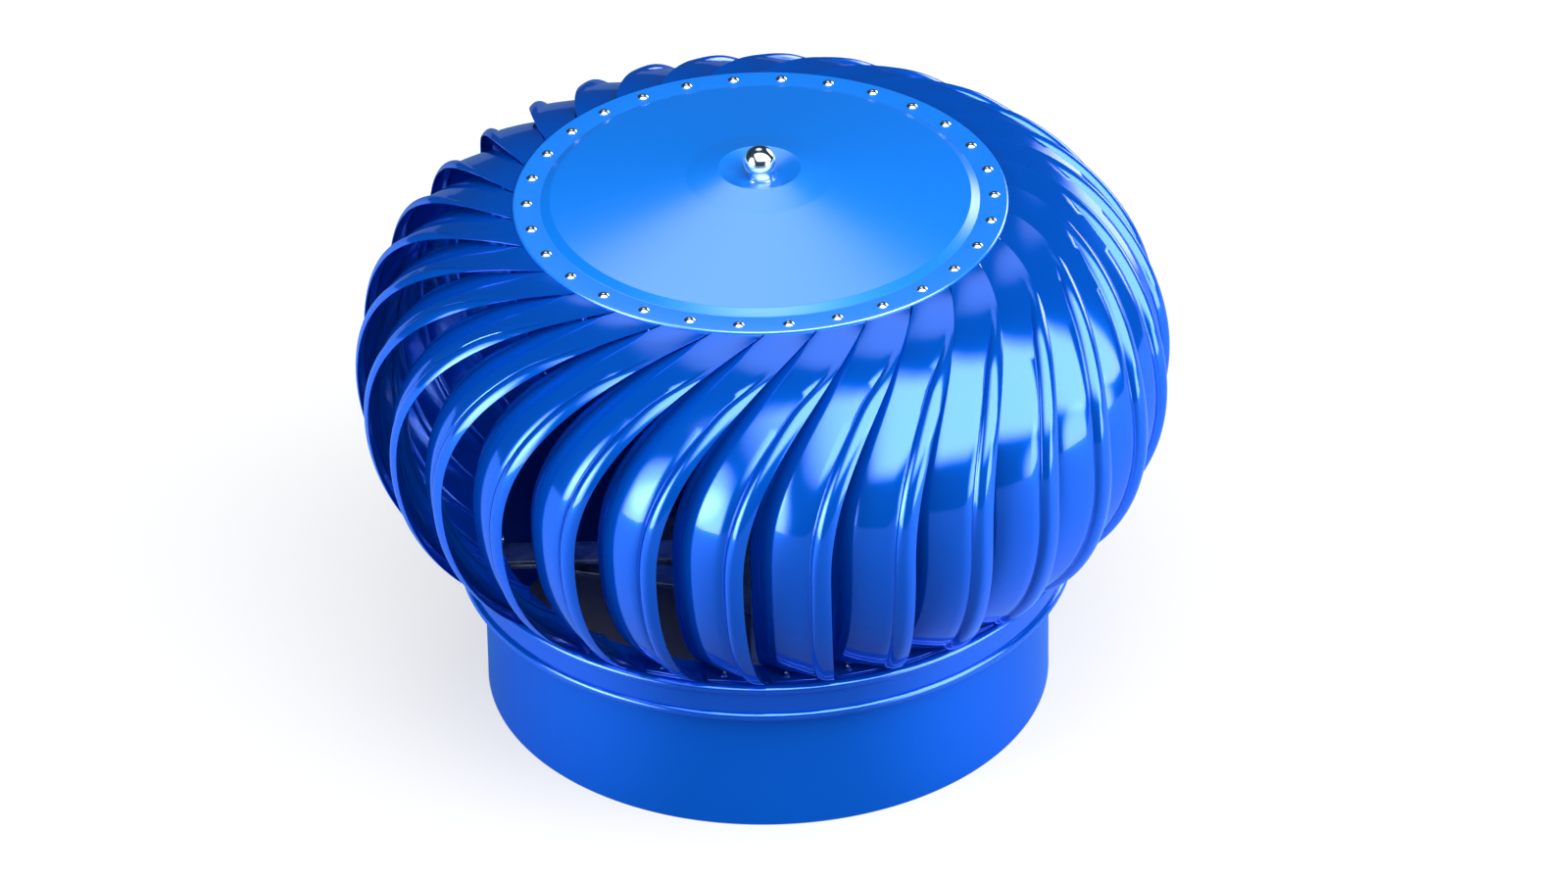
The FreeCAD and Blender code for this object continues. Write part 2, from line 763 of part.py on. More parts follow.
def main():
    os.makedirs("parts", exist_ok=True)
    save("throat", make_throat())
    for number, arm in enumerate(ringed(make_arm(), arm_count), 1):
        save("bearing_arm_%d" % number, arm)
    for number, brace in enumerate(ringed(make_brace(), arm_count), 1):
        save("bearing_brace_%d" % number, brace)
    save("arm_bolts", Part.makeCompound(make_arm_bolts()))
    save("arm_nuts", Part.makeCompound(make_arm_nuts()))
    save("arm_washers", Part.makeCompound(make_arm_washers()))
    save("bearing_tube", make_bearing_tube())
    save("bearing_outer_rings", Part.makeCompound([make_outer_ring(upper_bearing_level),
                                                   make_outer_ring(lower_bearing_level)]))
    save("bearing_circlips", Part.makeCompound(make_circlips()))
    save("dust_plug", make_dust_plug())

    save("bearing_inner_rings", Part.makeCompound([make_inner_ring(upper_bearing_level),
                                                   make_inner_ring(lower_bearing_level)]))
    save("bearing_spacer", make_spacer())
    save("rotor_shaft", make_shaft())
    save("shaft_foot_washer", make_foot_washer())
    save("shaft_foot_nut", make_foot_nut())
    save("rain_collar", make_rain_collar())
    save("hub_nut", make_hub_nut())
    save("hub_plate", make_hub_plate())
    save("ball_nut", make_ball_nut())
    save("cap", make_cap())
    save("top_ring", make_top_ring())
    save("lower_ring", make_lower_ring())
    cap_rivet = make_rivet(cap_rivet_head, cap_rivet_dome, 0,
                           cap_sheet + top_ring_sheet + vane_sheet)
    save("cap_rivets", Part.makeCompound(
        make_rivets(cap_rivet, cap_rivet_radius, cap_rivet_azimuth, cap_level)))
    ring_rivet = make_rivet(ring_rivet_head, ring_rivet_dome, ring_rivet_bore,
                            vane_sheet + ring_sheet)
    save("ring_rivets", Part.makeCompound(
        make_rivets(ring_rivet, ring_rivet_radius, ring_rivet_azimuth, ring_plane + vane_sheet)))
    for number, vane in enumerate(ringed(make_vane(), vane_count), 1):
        save("vane_%02d" % number, vane)


main()
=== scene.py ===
# %% [markdown]
# # A wind-driven roof ventilator, dressed for the camera
# The object is a turbine ventilator of glossy blue sheet metal. A plain round throat stands on the
# floor, and above it turns a round head of thirty swept vanes between a beaded ring and a cap.
# The construction comes from the CAD frame, in metres, and this lesson gives it the surfaces that
# the eye expects: rolled beads, folded edges, domed rivets, a polished ball and glossy coating.

# %% Load the frame
import math

import bmesh
import bpy
from mathutils import Matrix, Vector


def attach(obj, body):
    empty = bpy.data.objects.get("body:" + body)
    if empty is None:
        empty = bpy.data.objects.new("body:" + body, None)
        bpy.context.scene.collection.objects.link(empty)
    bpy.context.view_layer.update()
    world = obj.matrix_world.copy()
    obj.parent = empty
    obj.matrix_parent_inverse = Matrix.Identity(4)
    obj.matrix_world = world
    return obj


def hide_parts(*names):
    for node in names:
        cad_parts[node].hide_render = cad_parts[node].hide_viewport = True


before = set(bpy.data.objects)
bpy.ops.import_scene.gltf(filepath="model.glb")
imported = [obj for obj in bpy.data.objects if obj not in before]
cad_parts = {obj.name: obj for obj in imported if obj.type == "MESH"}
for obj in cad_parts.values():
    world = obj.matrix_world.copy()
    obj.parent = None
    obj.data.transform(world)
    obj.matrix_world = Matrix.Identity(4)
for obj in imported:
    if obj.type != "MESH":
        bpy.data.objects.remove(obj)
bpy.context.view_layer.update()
MM = 0.001
scene = bpy.context.scene

# %% [markdown]
# ## Small helpers for materials
# Colours are picked as the hex values that a screen shows, but Blender's shaders work in linear
# light, so one function translates them. A second function adds a node, sets it up and links it,
# which keeps each material below short enough to read as a recipe. The rest start a material,
# make noise of a real size, stretch a pattern, make a soft step, mix two values and press a bump
# of a real depth.

# %% Colour and node helpers
def shade(code):
    """An sRGB hex colour as linear RGBA."""
    values = [int(code[place:place + 2], 16) / 255 for place in (1, 3, 5)]
    linear = [v / 12.92 if v <= 0.04045 else ((v + 0.055) / 1.055) ** 2.4 for v in values]
    return (*linear, 1.0)


def add_node(tree, kind, inputs=None, **settings):
    """Adds a node, sets its properties, then fills or links its inputs by name or number."""
    node = tree.nodes.new(kind)
    for name, value in settings.items():
        setattr(node, name, value)
    for name, value in (inputs or {}).items():
        socket = node.inputs[name]
        if isinstance(value, bpy.types.NodeSocket):
            tree.links.new(value, socket)
        else:
            socket.default_value = value
    return node


def new_material(name, colour, metallic, roughness, **fixed):
    """A Principled material whose even values sit on the shader's own sockets."""
    material = bpy.data.materials.new(name)
    material.use_nodes = True
    tree = material.node_tree
    tree.nodes.clear()
    shader = add_node(tree, "ShaderNodeBsdfPrincipled", {
        "Base Color": shade(colour), "Metallic": metallic, "Roughness": roughness, **fixed})
    add_node(tree, "ShaderNodeOutputMaterial", {"Surface": shader.outputs["BSDF"]})
    place = add_node(tree, "ShaderNodeTexCoord").outputs["Object"]
    return material, tree, shader, place


def noise(tree, place, size_mm, detail=2.0):
    """A noise pattern whose patches have a real size."""
    return add_node(tree, "ShaderNodeTexNoise", {
        "Vector": place, "Scale": 1 / (size_mm * MM), "Detail": detail}).outputs["Fac"]


def spread(tree, value, low, high):
    """A 0 to 1 pattern stretched to the range from low to high."""
    return add_node(tree, "ShaderNodeMapRange", {
        "Value": value, "To Min": low, "To Max": high}).outputs["Result"]


def fade(tree, value, start, end, top=1.0):
    """A soft step from 0 at the start to the top value at the end."""
    return add_node(tree, "ShaderNodeMapRange", {
        "Value": value, "From Min": start, "From Max": end, "To Max": top},
        interpolation_type="SMOOTHSTEP").outputs["Result"]


def blend(tree, share, one, two, kind="RGBA"):
    """A mix of two values, all of the second where the share is 1."""
    return add_node(tree, "ShaderNodeMix", {"Factor": share, "A": one, "B": two},
                    data_type=kind).outputs["Result"]


def press(tree, shader, height, depth_mm):
    """A bump of a real depth in millimetres on a shader."""
    bump = add_node(tree, "ShaderNodeBump", {
        "Strength": 1.0, "Distance": depth_mm * MM, "Height": height})
    tree.links.new(bump.outputs["Normal"], shader.inputs["Normal"])


print("linear mid blue:", [round(v, 3) for v in shade("#0a5ad2")])

# %% [markdown]
# ## Blue coated sheet
# The throat, ring, vanes and cap are thin steel sheet under a glossy, translucent blue coating.
# Light passes through the colour and comes back from the bright metal, so reflections are blue,
# and a clear top skin adds white ones. A half metallic base under a clear coat gives both. The
# coating flows before it sets, which leaves an orange-peel wave a few millimetres wide that bends
# reflections a little, and its gloss drifts slowly over a hand's width. Three finishes share this
# recipe: the vanes and the ring are glossiest, the cap is satin under a thick clear skin, and the
# rolled throat is satin under a thin one.

# %% Blue coating
PEEL_MM = 5.0
GLOSS_DRIFT_MM = 120.0
COATING_TINT = "#3f7fe0"


def coated_sheet(name, colour, metallic, low, high, peel_depth, coat):
    """Blue coating over bright metal; coat holds the weight, roughness and IOR of its gloss."""
    material, tree, shader, place = new_material(
        name, colour, metallic, low,
        **{"Coat Weight": coat[0], "Coat Roughness": coat[1], "Coat IOR": coat[2],
           "Specular Tint": shade(COATING_TINT)})
    drift = noise(tree, place, GLOSS_DRIFT_MM, 3.0)
    tree.links.new(spread(tree, drift, low, high), shader.inputs["Roughness"])
    peel = noise(tree, place, PEEL_MM, 1.0)
    press(tree, shader, peel, peel_depth)
    return material


vane_coating = coated_sheet("glossy blue coated sheet, drawn thin", "#0057ca", 0.62, 0.14, 0.22,
                            0.006, (0.72, 0.05, 1.65))
blue_coating = coated_sheet("satin blue coated sheet, pressed", "#007cee", 0.42, 0.32, 0.4, 0.012,
                            (1.0, 0.2, 2.35))
throat_coating = coated_sheet("satin blue coated sheet, rolled", "#0057be", 0.5, 0.28, 0.36, 0.012,
                              (0.35, 0.2, 1.5))
print("made", vane_coating.name, "and", blue_coating.name, "and", throat_coating.name)

# %% [markdown]
# ## Chrome and bright aluminium
# The ball nut is chrome plated and polished, a mirror with only faint wiping marks. The blind
# rivets are drawn aluminium: nearly as bright, a little softer, with a fine drawn grain.

# %% Chrome and rivet aluminium
chrome, tree, shader, place = new_material("polished chrome plate", "#e4e7ea", 1.0, 0.04)
wipe = noise(tree, place, 4.0, 4.0)
tree.links.new(spread(tree, wipe, 0.02, 0.07), shader.inputs["Roughness"])
press(tree, shader, wipe, 0.002)

rivet_aluminium, tree, shader, place = new_material("bright drawn aluminium", "#dfe3e6", 1.0, 0.12)
grain = noise(tree, place, 0.6)
tree.links.new(spread(tree, grain, 0.08, 0.18), shader.inputs["Roughness"])
press(tree, shader, grain, 0.004)
print("made", chrome.name, "and", rivet_aluminium.name)

# %% [markdown]
# ## Steel inside the throat
# Arms, braces and tube are hot-dip galvanised: zinc crystals a centimetre wide, called spangle,
# each a slightly different grey. Nuts and bolts are bright zinc plated. The bearing rings and the
# shaft are turned and ground, which leaves fine rings round the axis.

# %% Galvanised and plated steel
SPANGLE_MM = 9.0
WAVE_FACTOR = 20

galvanised, tree, shader, place = new_material("hot-dip galvanised steel", "#a9adb0", 1.0, 0.42)
spangle = add_node(tree, "ShaderNodeTexVoronoi", {"Vector": place, "Scale": 1 / (SPANGLE_MM * MM)})
tone = add_node(tree, "ShaderNodeSeparateColor", {"Color": spangle.outputs["Color"]}).outputs["Red"]
greys = blend(tree, tone, shade("#989da1"), shade("#bcc0c2"))
tree.links.new(greys, shader.inputs["Base Color"])
tree.links.new(spread(tree, tone, 0.34, 0.5), shader.inputs["Roughness"])
press(tree, shader, tone, 0.02)

zinc_plate, tree, shader, place = new_material("bright zinc plated steel", "#c3c7cb", 1.0, 0.25)
pits = noise(tree, place, 1.2, 3.0)
tree.links.new(spread(tree, pits, 0.2, 0.34), shader.inputs["Roughness"])
press(tree, shader, pits, 0.008)


def turned_metal(name, colour, low, high, ring_mm):
    """A metal with fine lathe rings up the axis; the wave node has a factor in its scale."""
    material, tree, shader, place = new_material(name, colour, 1.0, low)
    rings = add_node(tree, "ShaderNodeTexWave", {
        "Vector": place, "Scale": 1 / (ring_mm * MM) / WAVE_FACTOR, "Distortion": 0.4,
        "Detail": 2.0}, bands_direction="Z").outputs["Fac"]
    tree.links.new(spread(tree, rings, low, high), shader.inputs["Roughness"])
    press(tree, shader, rings, 0.003)
    return material


ground_steel = turned_metal("turned and ground steel", "#b4b8bc", 0.18, 0.3, 0.8)
bearing_steel = turned_metal("ground bearing steel", "#a7abb0", 0.1, 0.2, 0.5)
spun_aluminium = turned_metal("spun aluminium", "#c9cccf", 0.22, 0.36, 1.0)
print("made", galvanised.name, zinc_plate.name, ground_steel.name)

# %% [markdown]
# ## Dark parts
# The snap rings are spring steel under a near-black phosphate layer, which is dull and slightly
# grainy. The dust plug is moulded black polypropylene with the fine spark texture of its mould.

# %% Dark parts
def grainy(name, colour, metallic, low, high, grain_mm, depth_mm):
    """A dull surface whose grain has a real size."""
    material, tree, shader, place = new_material(name, colour, metallic, low)
    grain = noise(tree, place, grain_mm, 3.0)
    tree.links.new(spread(tree, grain, low, high), shader.inputs["Roughness"])
    press(tree, shader, grain, depth_mm)
    return material


phosphate = grainy("phosphated spring steel", "#2c2c2e", 0.8, 0.45, 0.6, 0.8, 0.01)
polypropylene = grainy("moulded black polypropylene", "#121314", 0.0, 0.45, 0.6, 0.7, 0.02)
print("made", phosphate.name, "and", polypropylene.name)

# %% [markdown]
# ## Sheet metal turned on the axis
# Throat, ring and cap are each one folded line turned round the axis. The folded line is drawn
# with its bends as arcs, the sheet's other side is the same line moved by its thickness, and a
# lathe function turns the closed outline into a mesh. This follows how such parts are rolled.

# %% Profile and lathe helpers
EASE_STEPS = 5
LONGEST_CUT = 0.45
ON_AXIS = 1e-6
TURNED_ANGLE = 35
PLATE_ANGLE = 40
FOLD_ANGLE = 50


def arc_points(centre, radius, start, end, steps):
    """Points (radius, height) on an arc between two angles in degrees."""
    turns = [math.radians(start + (end - start) * step / steps) for step in range(steps + 1)]
    return [(centre[0] + radius * math.cos(t), centre[1] + radius * math.sin(t)) for t in turns]


def eased(points, radius):
    """A line of straight runs whose inner corners are rounded."""
    result = [points[0]]
    for before, corner, after in zip(points, points[1:], points[2:]):
        back = Vector(before) - Vector(corner)
        ahead = Vector(after) - Vector(corner)
        half = back.angle(ahead) / 2
        cut = min(radius / math.tan(half), back.length * LONGEST_CUT, ahead.length * LONGEST_CUT)
        start = Vector(corner) + back.normalized() * cut
        end = Vector(corner) + ahead.normalized() * cut
        for step in range(EASE_STEPS + 1):
            t = step / EASE_STEPS
            point = (1 - t) ** 2 * start + 2 * t * (1 - t) * Vector(corner) + t ** 2 * end
            result.append((point.x, point.y))
    return result + [points[-1]]


def sheet_outline(path, sheet):
    """The closed outline of a sheet that lies to the right of a path."""
    other = []
    for number, point in enumerate(path):
        before = Vector(path[max(number - 1, 0)])
        after = Vector(path[min(number + 1, len(path) - 1)])
        run = (after - before).normalized()
        other.append((point[0] + run.y * sheet, point[1] - run.x * sheet))
    return path + other[::-1]


def add_object(name, data):
    """Puts mesh or camera data into the scene as an object."""
    piece = bpy.data.objects.new(name, data)
    scene.collection.objects.link(piece)
    return piece


def built(name, mesh):
    """Turns a mesh that was built face by face into an object."""
    data = bpy.data.meshes.new(name)
    mesh.to_mesh(data)
    mesh.free()
    return add_object(name, data)


def lathe(name, outline, segments):
    """A closed outline of (radius, height) in millimetres turned into a mesh piece."""
    mesh = bmesh.new()
    rings = []
    for radius, height in outline:
        if radius < ON_AXIS:
            rings.append([mesh.verts.new((0, 0, height * MM))])
            continue
        turns = [2 * math.pi * step / segments for step in range(segments)]
        rings.append([mesh.verts.new((radius * MM * math.cos(t), radius * MM * math.sin(t),
                                      height * MM)) for t in turns])
    for one, two in zip(rings, rings[1:] + rings[:1]):
        if len(one) == 1 and len(two) == 1:
            continue
        for step in range(segments):
            corners = [one[step % len(one)], one[(step + 1) % segments % len(one)],
                       two[(step + 1) % segments % len(two)], two[step % len(two)]]
            mesh.faces.new(list(dict.fromkeys(corners)))
    bmesh.ops.recalc_face_normals(mesh, faces=mesh.faces)
    return built(name, mesh)


def finish_piece(piece, material, body, nodes, sharp_angle=TURNED_ANGLE):
    """Gives a piece its material, its shading and its place in the frame."""
    piece.data.materials.clear()
    piece.data.materials.append(material)
    piece.data.shade_smooth()
    piece.data.set_sharp_from_angle(angle=math.radians(sharp_angle))
    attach(piece, body)
    if nodes:
        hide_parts(*nodes)
    size = [round(v / MM, 1) for v in piece.dimensions]
    print(piece.name, "size in mm:", size, "faces:", len(piece.data.polygons))


# %% [markdown]
# ## Throat
# The throat is one rolled sheet. Its top edge is curled outward, which stiffens it and leaves no
# sharp rim, and its ends are lapped in a seam at the back. The seam is a strip that stands one
# sheet proud, so it is added as a bent band whose long edges are rounded.

# %% Throat
THROAT_RADIUS = 250.0
THROAT_SHEET = 1.2
THROAT_HEIGHT = 150.0
CURL_RADIUS = 2.5
SEAM_WIDTH = 14.0
SEAM_MARGIN = 3.0
SEAM_AZIMUTH = 200.0
SEAM_STEPS = 8
SEAM_EDGE = 0.4
THROAT_TURN = 288

curl_centre = (THROAT_RADIUS + CURL_RADIUS, THROAT_HEIGHT)
wall_path = [(THROAT_RADIUS, height) for height in (0.0, 40.0, 80.0, 120.0)]
wall_path += arc_points(curl_centre, CURL_RADIUS, 180, 0, 12)
throat = lathe("throat_shell", sheet_outline(wall_path, -THROAT_SHEET), THROAT_TURN)


def bent_band(name, radius, sheet, azimuth, width, bottom, top, steps):
    """A strip bent round the axis, from its outside radius, with closed edges."""
    mesh = bmesh.new()
    half = width / 2 / radius
    columns = []
    for step in range(steps + 1):
        turn = math.radians(azimuth) - half + 2 * half * step / steps
        side = (math.sin(turn), -math.cos(turn))
        columns.append([mesh.verts.new((side[0] * r * MM, side[1] * r * MM, z * MM))
                        for r, z in ((radius, bottom), (radius, top),
                                     (radius - sheet, top), (radius - sheet, bottom))])
    for one, two in zip(columns, columns[1:]):
        for corner in range(4):
            follow = (corner + 1) % 4
            mesh.faces.new((one[corner], one[follow], two[follow], two[corner]))
    mesh.faces.new(columns[0])
    mesh.faces.new(columns[-1][::-1])
    bmesh.ops.recalc_face_normals(mesh, faces=mesh.faces)
    return built(name, mesh)


seam = bent_band("throat_seam", THROAT_RADIUS + THROAT_SHEET, THROAT_SHEET * 1.5, SEAM_AZIMUTH,
                 SEAM_WIDTH, SEAM_MARGIN, THROAT_HEIGHT - SEAM_MARGIN, SEAM_STEPS)
edge = seam.modifiers.new("rounded edges", "BEVEL")
edge.width = SEAM_EDGE * MM
edge.segments = 2
finish_piece(throat, throat_coating, "base", ["throat"])
finish_piece(seam, throat_coating, "base", [])

# %% [markdown]
# ## Lower ring
# The vanes stand on a flat ring whose outer edge drops as a skirt over the throat's rim. A bead
# is rolled at the top of the skirt and another at its foot. These beads catch the two bright
# lines that run round the object, so their arcs get plenty of steps.

# %% Lower ring
RING_PLANE = 162.0
RING_SHEET = 1.2
RING_INNER_RADIUS = 240.0
RING_INNER_FLAT = 10.0
SKIRT_RADIUS = 271.2
UPPER_BEAD_RADIUS = 4.8
UPPER_BEAD_STAND = 0.8
LOWER_BEAD_RADIUS = 5.0
LOWER_BEAD_CENTRE = (267.9, 128.0)
LOWER_BEAD_CURL = -135.0
LOWER_BEAD_START = 1.7
RING_TURN = 320

upper_bead = (SKIRT_RADIUS + UPPER_BEAD_STAND, RING_PLANE + UPPER_BEAD_STAND - UPPER_BEAD_RADIUS)
bead_rise = UPPER_BEAD_RADIUS - UPPER_BEAD_STAND
flat_end = upper_bead[0] - math.sqrt(UPPER_BEAD_RADIUS ** 2 - bead_rise ** 2)
bead_start = math.degrees(math.atan2(bead_rise, flat_end - upper_bead[0]))
bead_end = -math.degrees(math.acos(-UPPER_BEAD_STAND / UPPER_BEAD_RADIUS))
low_start = math.degrees(math.acos(LOWER_BEAD_START / LOWER_BEAD_RADIUS))
ring_path = [(RING_INNER_RADIUS, RING_PLANE), (RING_INNER_RADIUS + RING_INNER_FLAT, RING_PLANE)]
ring_path += arc_points(upper_bead, UPPER_BEAD_RADIUS, bead_start, bead_end, 22)
ring_path += arc_points(LOWER_BEAD_CENTRE, LOWER_BEAD_RADIUS, low_start, LOWER_BEAD_CURL, 20)
lower_ring = lathe("lower_ring_shell", sheet_outline(ring_path, RING_SHEET), RING_TURN)
finish_piece(lower_ring, vane_coating, "rotor", ["lower_ring"], FOLD_ANGLE)

# %% [markdown]
# ## Cap
# The cap is pressed from one disc: a flat rim with a turned-down lip, a small step, a shallow
# cone, then a ridge round the seat of the ball nut. Press tools leave soft bends, so each corner
# of the line is eased, except the lip, which is folded tighter.

# %% Cap
CAP_LEVEL = 485.0
CAP_SHEET = 1.2
CAP_RADIUS = 214.0
CAP_LIP = 2.8
CAP_LIP_ROUND = 1.6
CAP_BEND = 2.2
CAP_TURN = 288
CAP_SEAT = 510.0
CAP_BORE_RADIUS = 8.2
CAP_SEAT_RADIUS = 15.0
RIDGE_TOP = (35.7, 517.0)
CONE_TOP = (64.0, CAP_SEAT)
CONE_FOOT = (182.0, 489.2)
STEP_FOOT = (190.0, CAP_LEVEL)

cap_corners = [(CAP_BORE_RADIUS, CAP_SEAT), (CAP_SEAT_RADIUS, CAP_SEAT), RIDGE_TOP, CONE_TOP,
               CONE_FOOT, STEP_FOOT, (CAP_RADIUS - CAP_LIP_ROUND, CAP_LEVEL)]
cap_path = eased(cap_corners, CAP_BEND)
cap_path += arc_points((CAP_RADIUS - CAP_LIP_ROUND, CAP_LEVEL - CAP_LIP_ROUND), CAP_LIP_ROUND,
                       80, 0, 6)
cap_path.append((CAP_RADIUS, CAP_LEVEL - CAP_LIP))
cap = lathe("cap_shell", sheet_outline(cap_path, CAP_SHEET), CAP_TURN)
finish_piece(cap, blue_coating, "rotor", ["cap"], FOLD_ANGLE)

# %% [markdown]
# ## Ball nut
# A polished ball on a short collar closes the top of the shaft. It is a round mirror that shows
# the whole room in miniature, so it is turned finely.

# %% Ball nut
BALL_RADIUS = 14.15
BALL_CENTRE = CAP_SEAT + 13.0
COLLAR_RADIUS = 11.75
COLLAR_EDGE = 0.6
THREAD_RADIUS = 8.05
THREAD_TOP = CAP_SEAT + 15.0
NUT_TURN = 96

ball_start = -math.degrees(math.acos(COLLAR_RADIUS / BALL_RADIUS))
nut_outline = [(0.0, THREAD_TOP), (THREAD_RADIUS, THREAD_TOP), (THREAD_RADIUS, CAP_SEAT),
               (COLLAR_RADIUS - COLLAR_EDGE, CAP_SEAT), (COLLAR_RADIUS, CAP_SEAT + COLLAR_EDGE)]
ball_line = arc_points((0.0, BALL_CENTRE), BALL_RADIUS, ball_start, 90, 40)
ball_line[-1] = (0.0, BALL_CENTRE + BALL_RADIUS)
ball_nut = lathe("ball_nut_polished", nut_outline + ball_line, NUT_TURN)
finish_piece(ball_nut, chrome, "rotor", ["ball_nut"])

# %% [markdown]
# ## One vane, drawn by two edges
# Each vane is a tall strip pressed with a round bead along its outer edge, a dark groove beside
# it, a slightly bellied body and a narrow rib on its inner edge. Two rails carry its shape: the
# outer edge swells from the ring to the belly and sweeps sideways under the cap, and the inner
# edge follows it, turned back and sunk inward. The rails are worked out from the same sizes as
# the construction, and each point of the outer rail also stores what the section needs there:
# the facing direction, the crown of the body and how far the bead has grown. The rail keeps a
# millimetre of room at the belly, where the bead bulges past it.

# %% Vane rails
VANE_COUNT = 30
PITCH = 360.0 / VANE_COUNT
VANE_SHEET = 0.8
TOP_RING_SHEET = 2.0
VANE_TOP = CAP_LEVEL - CAP_SHEET - TOP_RING_SHEET
TIP_INSET = 1.3
TIP_RADIUS = flat_end - TIP_INSET
BEAD_ROOM = 1.2
BELLY_OVERHANG = 105.0
BELLY_RISE = 158.0
BELLY_RADIUS = THROAT_RADIUS + BELLY_OVERHANG - BEAD_ROOM
BELLY_HEIGHT = RING_PLANE + BELLY_RISE
LOWER_WIDTH = 165.0
LOWER_CENTRE = BELLY_RADIUS - LOWER_WIDTH
FOOT_ANGLE = math.degrees(math.acos((TIP_RADIUS - LOWER_CENTRE) / LOWER_WIDTH))
LOWER_HEIGHT = (BELLY_HEIGHT - RING_PLANE) / math.sin(math.radians(FOOT_ANGLE))
UPPER_WIDTH = BELLY_RADIUS - CAP_RADIUS
UPPER_HEIGHT = VANE_TOP - BELLY_HEIGHT
TIP_LEAD = 3.3
TOP_SWEEP = 27.3
SWEEP_POWER = 1.1
RIM_AZIMUTH = TOP_SWEEP - TIP_LEAD
RIM_GAP = 0.5
BELLY_GAP = 1.0
SHOULDER_OVERLAP = 3.0
FOOT_OVERLAP = 1.3
RIM_LAP = PITCH - RIM_GAP
BELLY_LAP = PITCH - BELLY_GAP
SHOULDER_LAP = PITCH + SHOULDER_OVERLAP
FOOT_LAP = PITCH + FOOT_OVERLAP
BELLY_DEPTH = 35.0
FOOT_OVERHANG = 3.5
FOOT_DEPTH = TIP_RADIUS - RING_INNER_RADIUS + FOOT_OVERHANG
BODY_CROWN = 10.0
CROWN_PLACE = 0.66
BEAD_ENTRY = 8.0
BEAD_FADE_START = 54.0
BEAD_FADE_END = 72.0
CLOSING_START = 68.0
ROWS = 60
FINE_STEPS = 2000


def smooth_step(value):
    """An S-shaped passage from 0 to 1."""
    held = min(1.0, max(0.0, value))
    return held * held * (3 - 2 * held)


def spot(radius, azimuth, height):
    """A place given by radius, degrees from the front and height, in millimetres."""
    turn = math.radians(azimuth)
    return Vector((radius * math.sin(turn), -radius * math.cos(turn), height))


def vane_station(angle):
    """Outer point, inner point, facing, crown and bead growth at one station of the vane."""
    turn = math.radians(angle)
    if angle < 0:
        share = (angle / FOOT_ANGLE) ** 2
        radius = LOWER_CENTRE + LOWER_WIDTH * math.cos(turn)
        height = BELLY_HEIGHT + LOWER_HEIGHT * math.sin(turn)
        azimuth = -TIP_LEAD * (1 - share)
        radial, upward = 1.0, 0.0
        lap = BELLY_LAP + (FOOT_LAP - BELLY_LAP) * share
        depth = BELLY_DEPTH + (FOOT_DEPTH - BELLY_DEPTH) * share
        crown = BODY_CROWN * (1 - share)
        bead = smooth_step((FOOT_ANGLE + angle) / BEAD_ENTRY)
    else:
        radius = CAP_RADIUS + UPPER_WIDTH * math.cos(turn)
        height = BELLY_HEIGHT + UPPER_HEIGHT * math.sin(turn)
        azimuth = -TIP_LEAD + TOP_SWEEP * (1 - math.cos(turn)) ** SWEEP_POWER
        normal = Vector((UPPER_HEIGHT * math.cos(turn), UPPER_WIDTH * math.sin(turn))).normalized()
        radial, upward = normal
        closing = smooth_step((angle - CLOSING_START) / (90 - CLOSING_START))
        shoulder = BELLY_LAP + (SHOULDER_LAP - BELLY_LAP) * math.sin(turn) ** 2
        lap = shoulder + (RIM_LAP - shoulder) * closing
        depth = BELLY_DEPTH * math.cos(turn)
        crown = BODY_CROWN * math.cos(turn) ** 2
        bead = smooth_step((BEAD_FADE_END - angle) / (BEAD_FADE_END - BEAD_FADE_START))
    outer = spot(radius, azimuth, height)
    inner = spot(radius - depth * radial, azimuth - lap, height - depth * upward)
    facing = spot(radial, azimuth - lap / 2, upward)
    return outer, inner, facing, crown, bead


def rail(name, points):
    """A bare row of points that the vane is stretched between."""
    data = bpy.data.meshes.new(name)
    data.from_pydata([tuple(point * MM) for point in points], [], [])
    return add_object(name, data)


fine = [vane_station(-FOOT_ANGLE + (90 + FOOT_ANGLE) * step / FINE_STEPS)
        for step in range(FINE_STEPS + 1)]
walked = [0.0]
for one, two in zip(fine, fine[1:]):
    walked.append(walked[-1] + (two[0] - one[0]).length)
stations = []
for row in range(ROWS):
    goal = walked[-1] * row / (ROWS - 1)
    nearest = min(range(len(walked)), key=lambda place: abs(walked[place] - goal))
    stations.append(fine[nearest])
outer_rail = rail("vane_outer_rail", [station[0] for station in stations])
inner_rail = rail("vane_inner_rail", [station[1] for station in stations])
facing_values = outer_rail.data.attributes.new("facing", "FLOAT_VECTOR", "POINT")
facing_values.data.foreach_set("vector", [v for station in stations for v in station[2]])
for name, place in (("crown", 3), ("bead", 4)):
    values = outer_rail.data.attributes.new(name, "FLOAT", "POINT")
    values.data.foreach_set("value", [station[place] for station in stations])
print("outer edge is", round(walked[-1]), "mm long in", ROWS, "stations")

# %% [markdown]
# ## Tabs of the vane
# At its foot the sheet is folded out into a flat triangle that lies on the ring, and under the
# cap it runs on as a flat tongue. Both carry a rivet. They are small plates with a softened edge.

# %% Tabs
def plate(mesh, corners, sheet):
    """Adds a flat plate, from its lower corners, to a mesh being built."""
    low = [mesh.verts.new(corner * MM) for corner in corners]
    high = [mesh.verts.new((corner + Vector((0, 0, sheet))) * MM) for corner in corners]
    mesh.faces.new(low[::-1])
    mesh.faces.new(high)
    for one, two, three, four in zip(low, low[1:] + low[:1], high[1:] + high[:1], high):
        mesh.faces.new((one, two, three, four))


FOOT_TAB_INSET = 1.2
FOOT_TAB_MARGIN = 0.6
TONGUE_REACH = 22.0
TONGUE_TAPER = 0.3
TAB_EDGE = 0.2

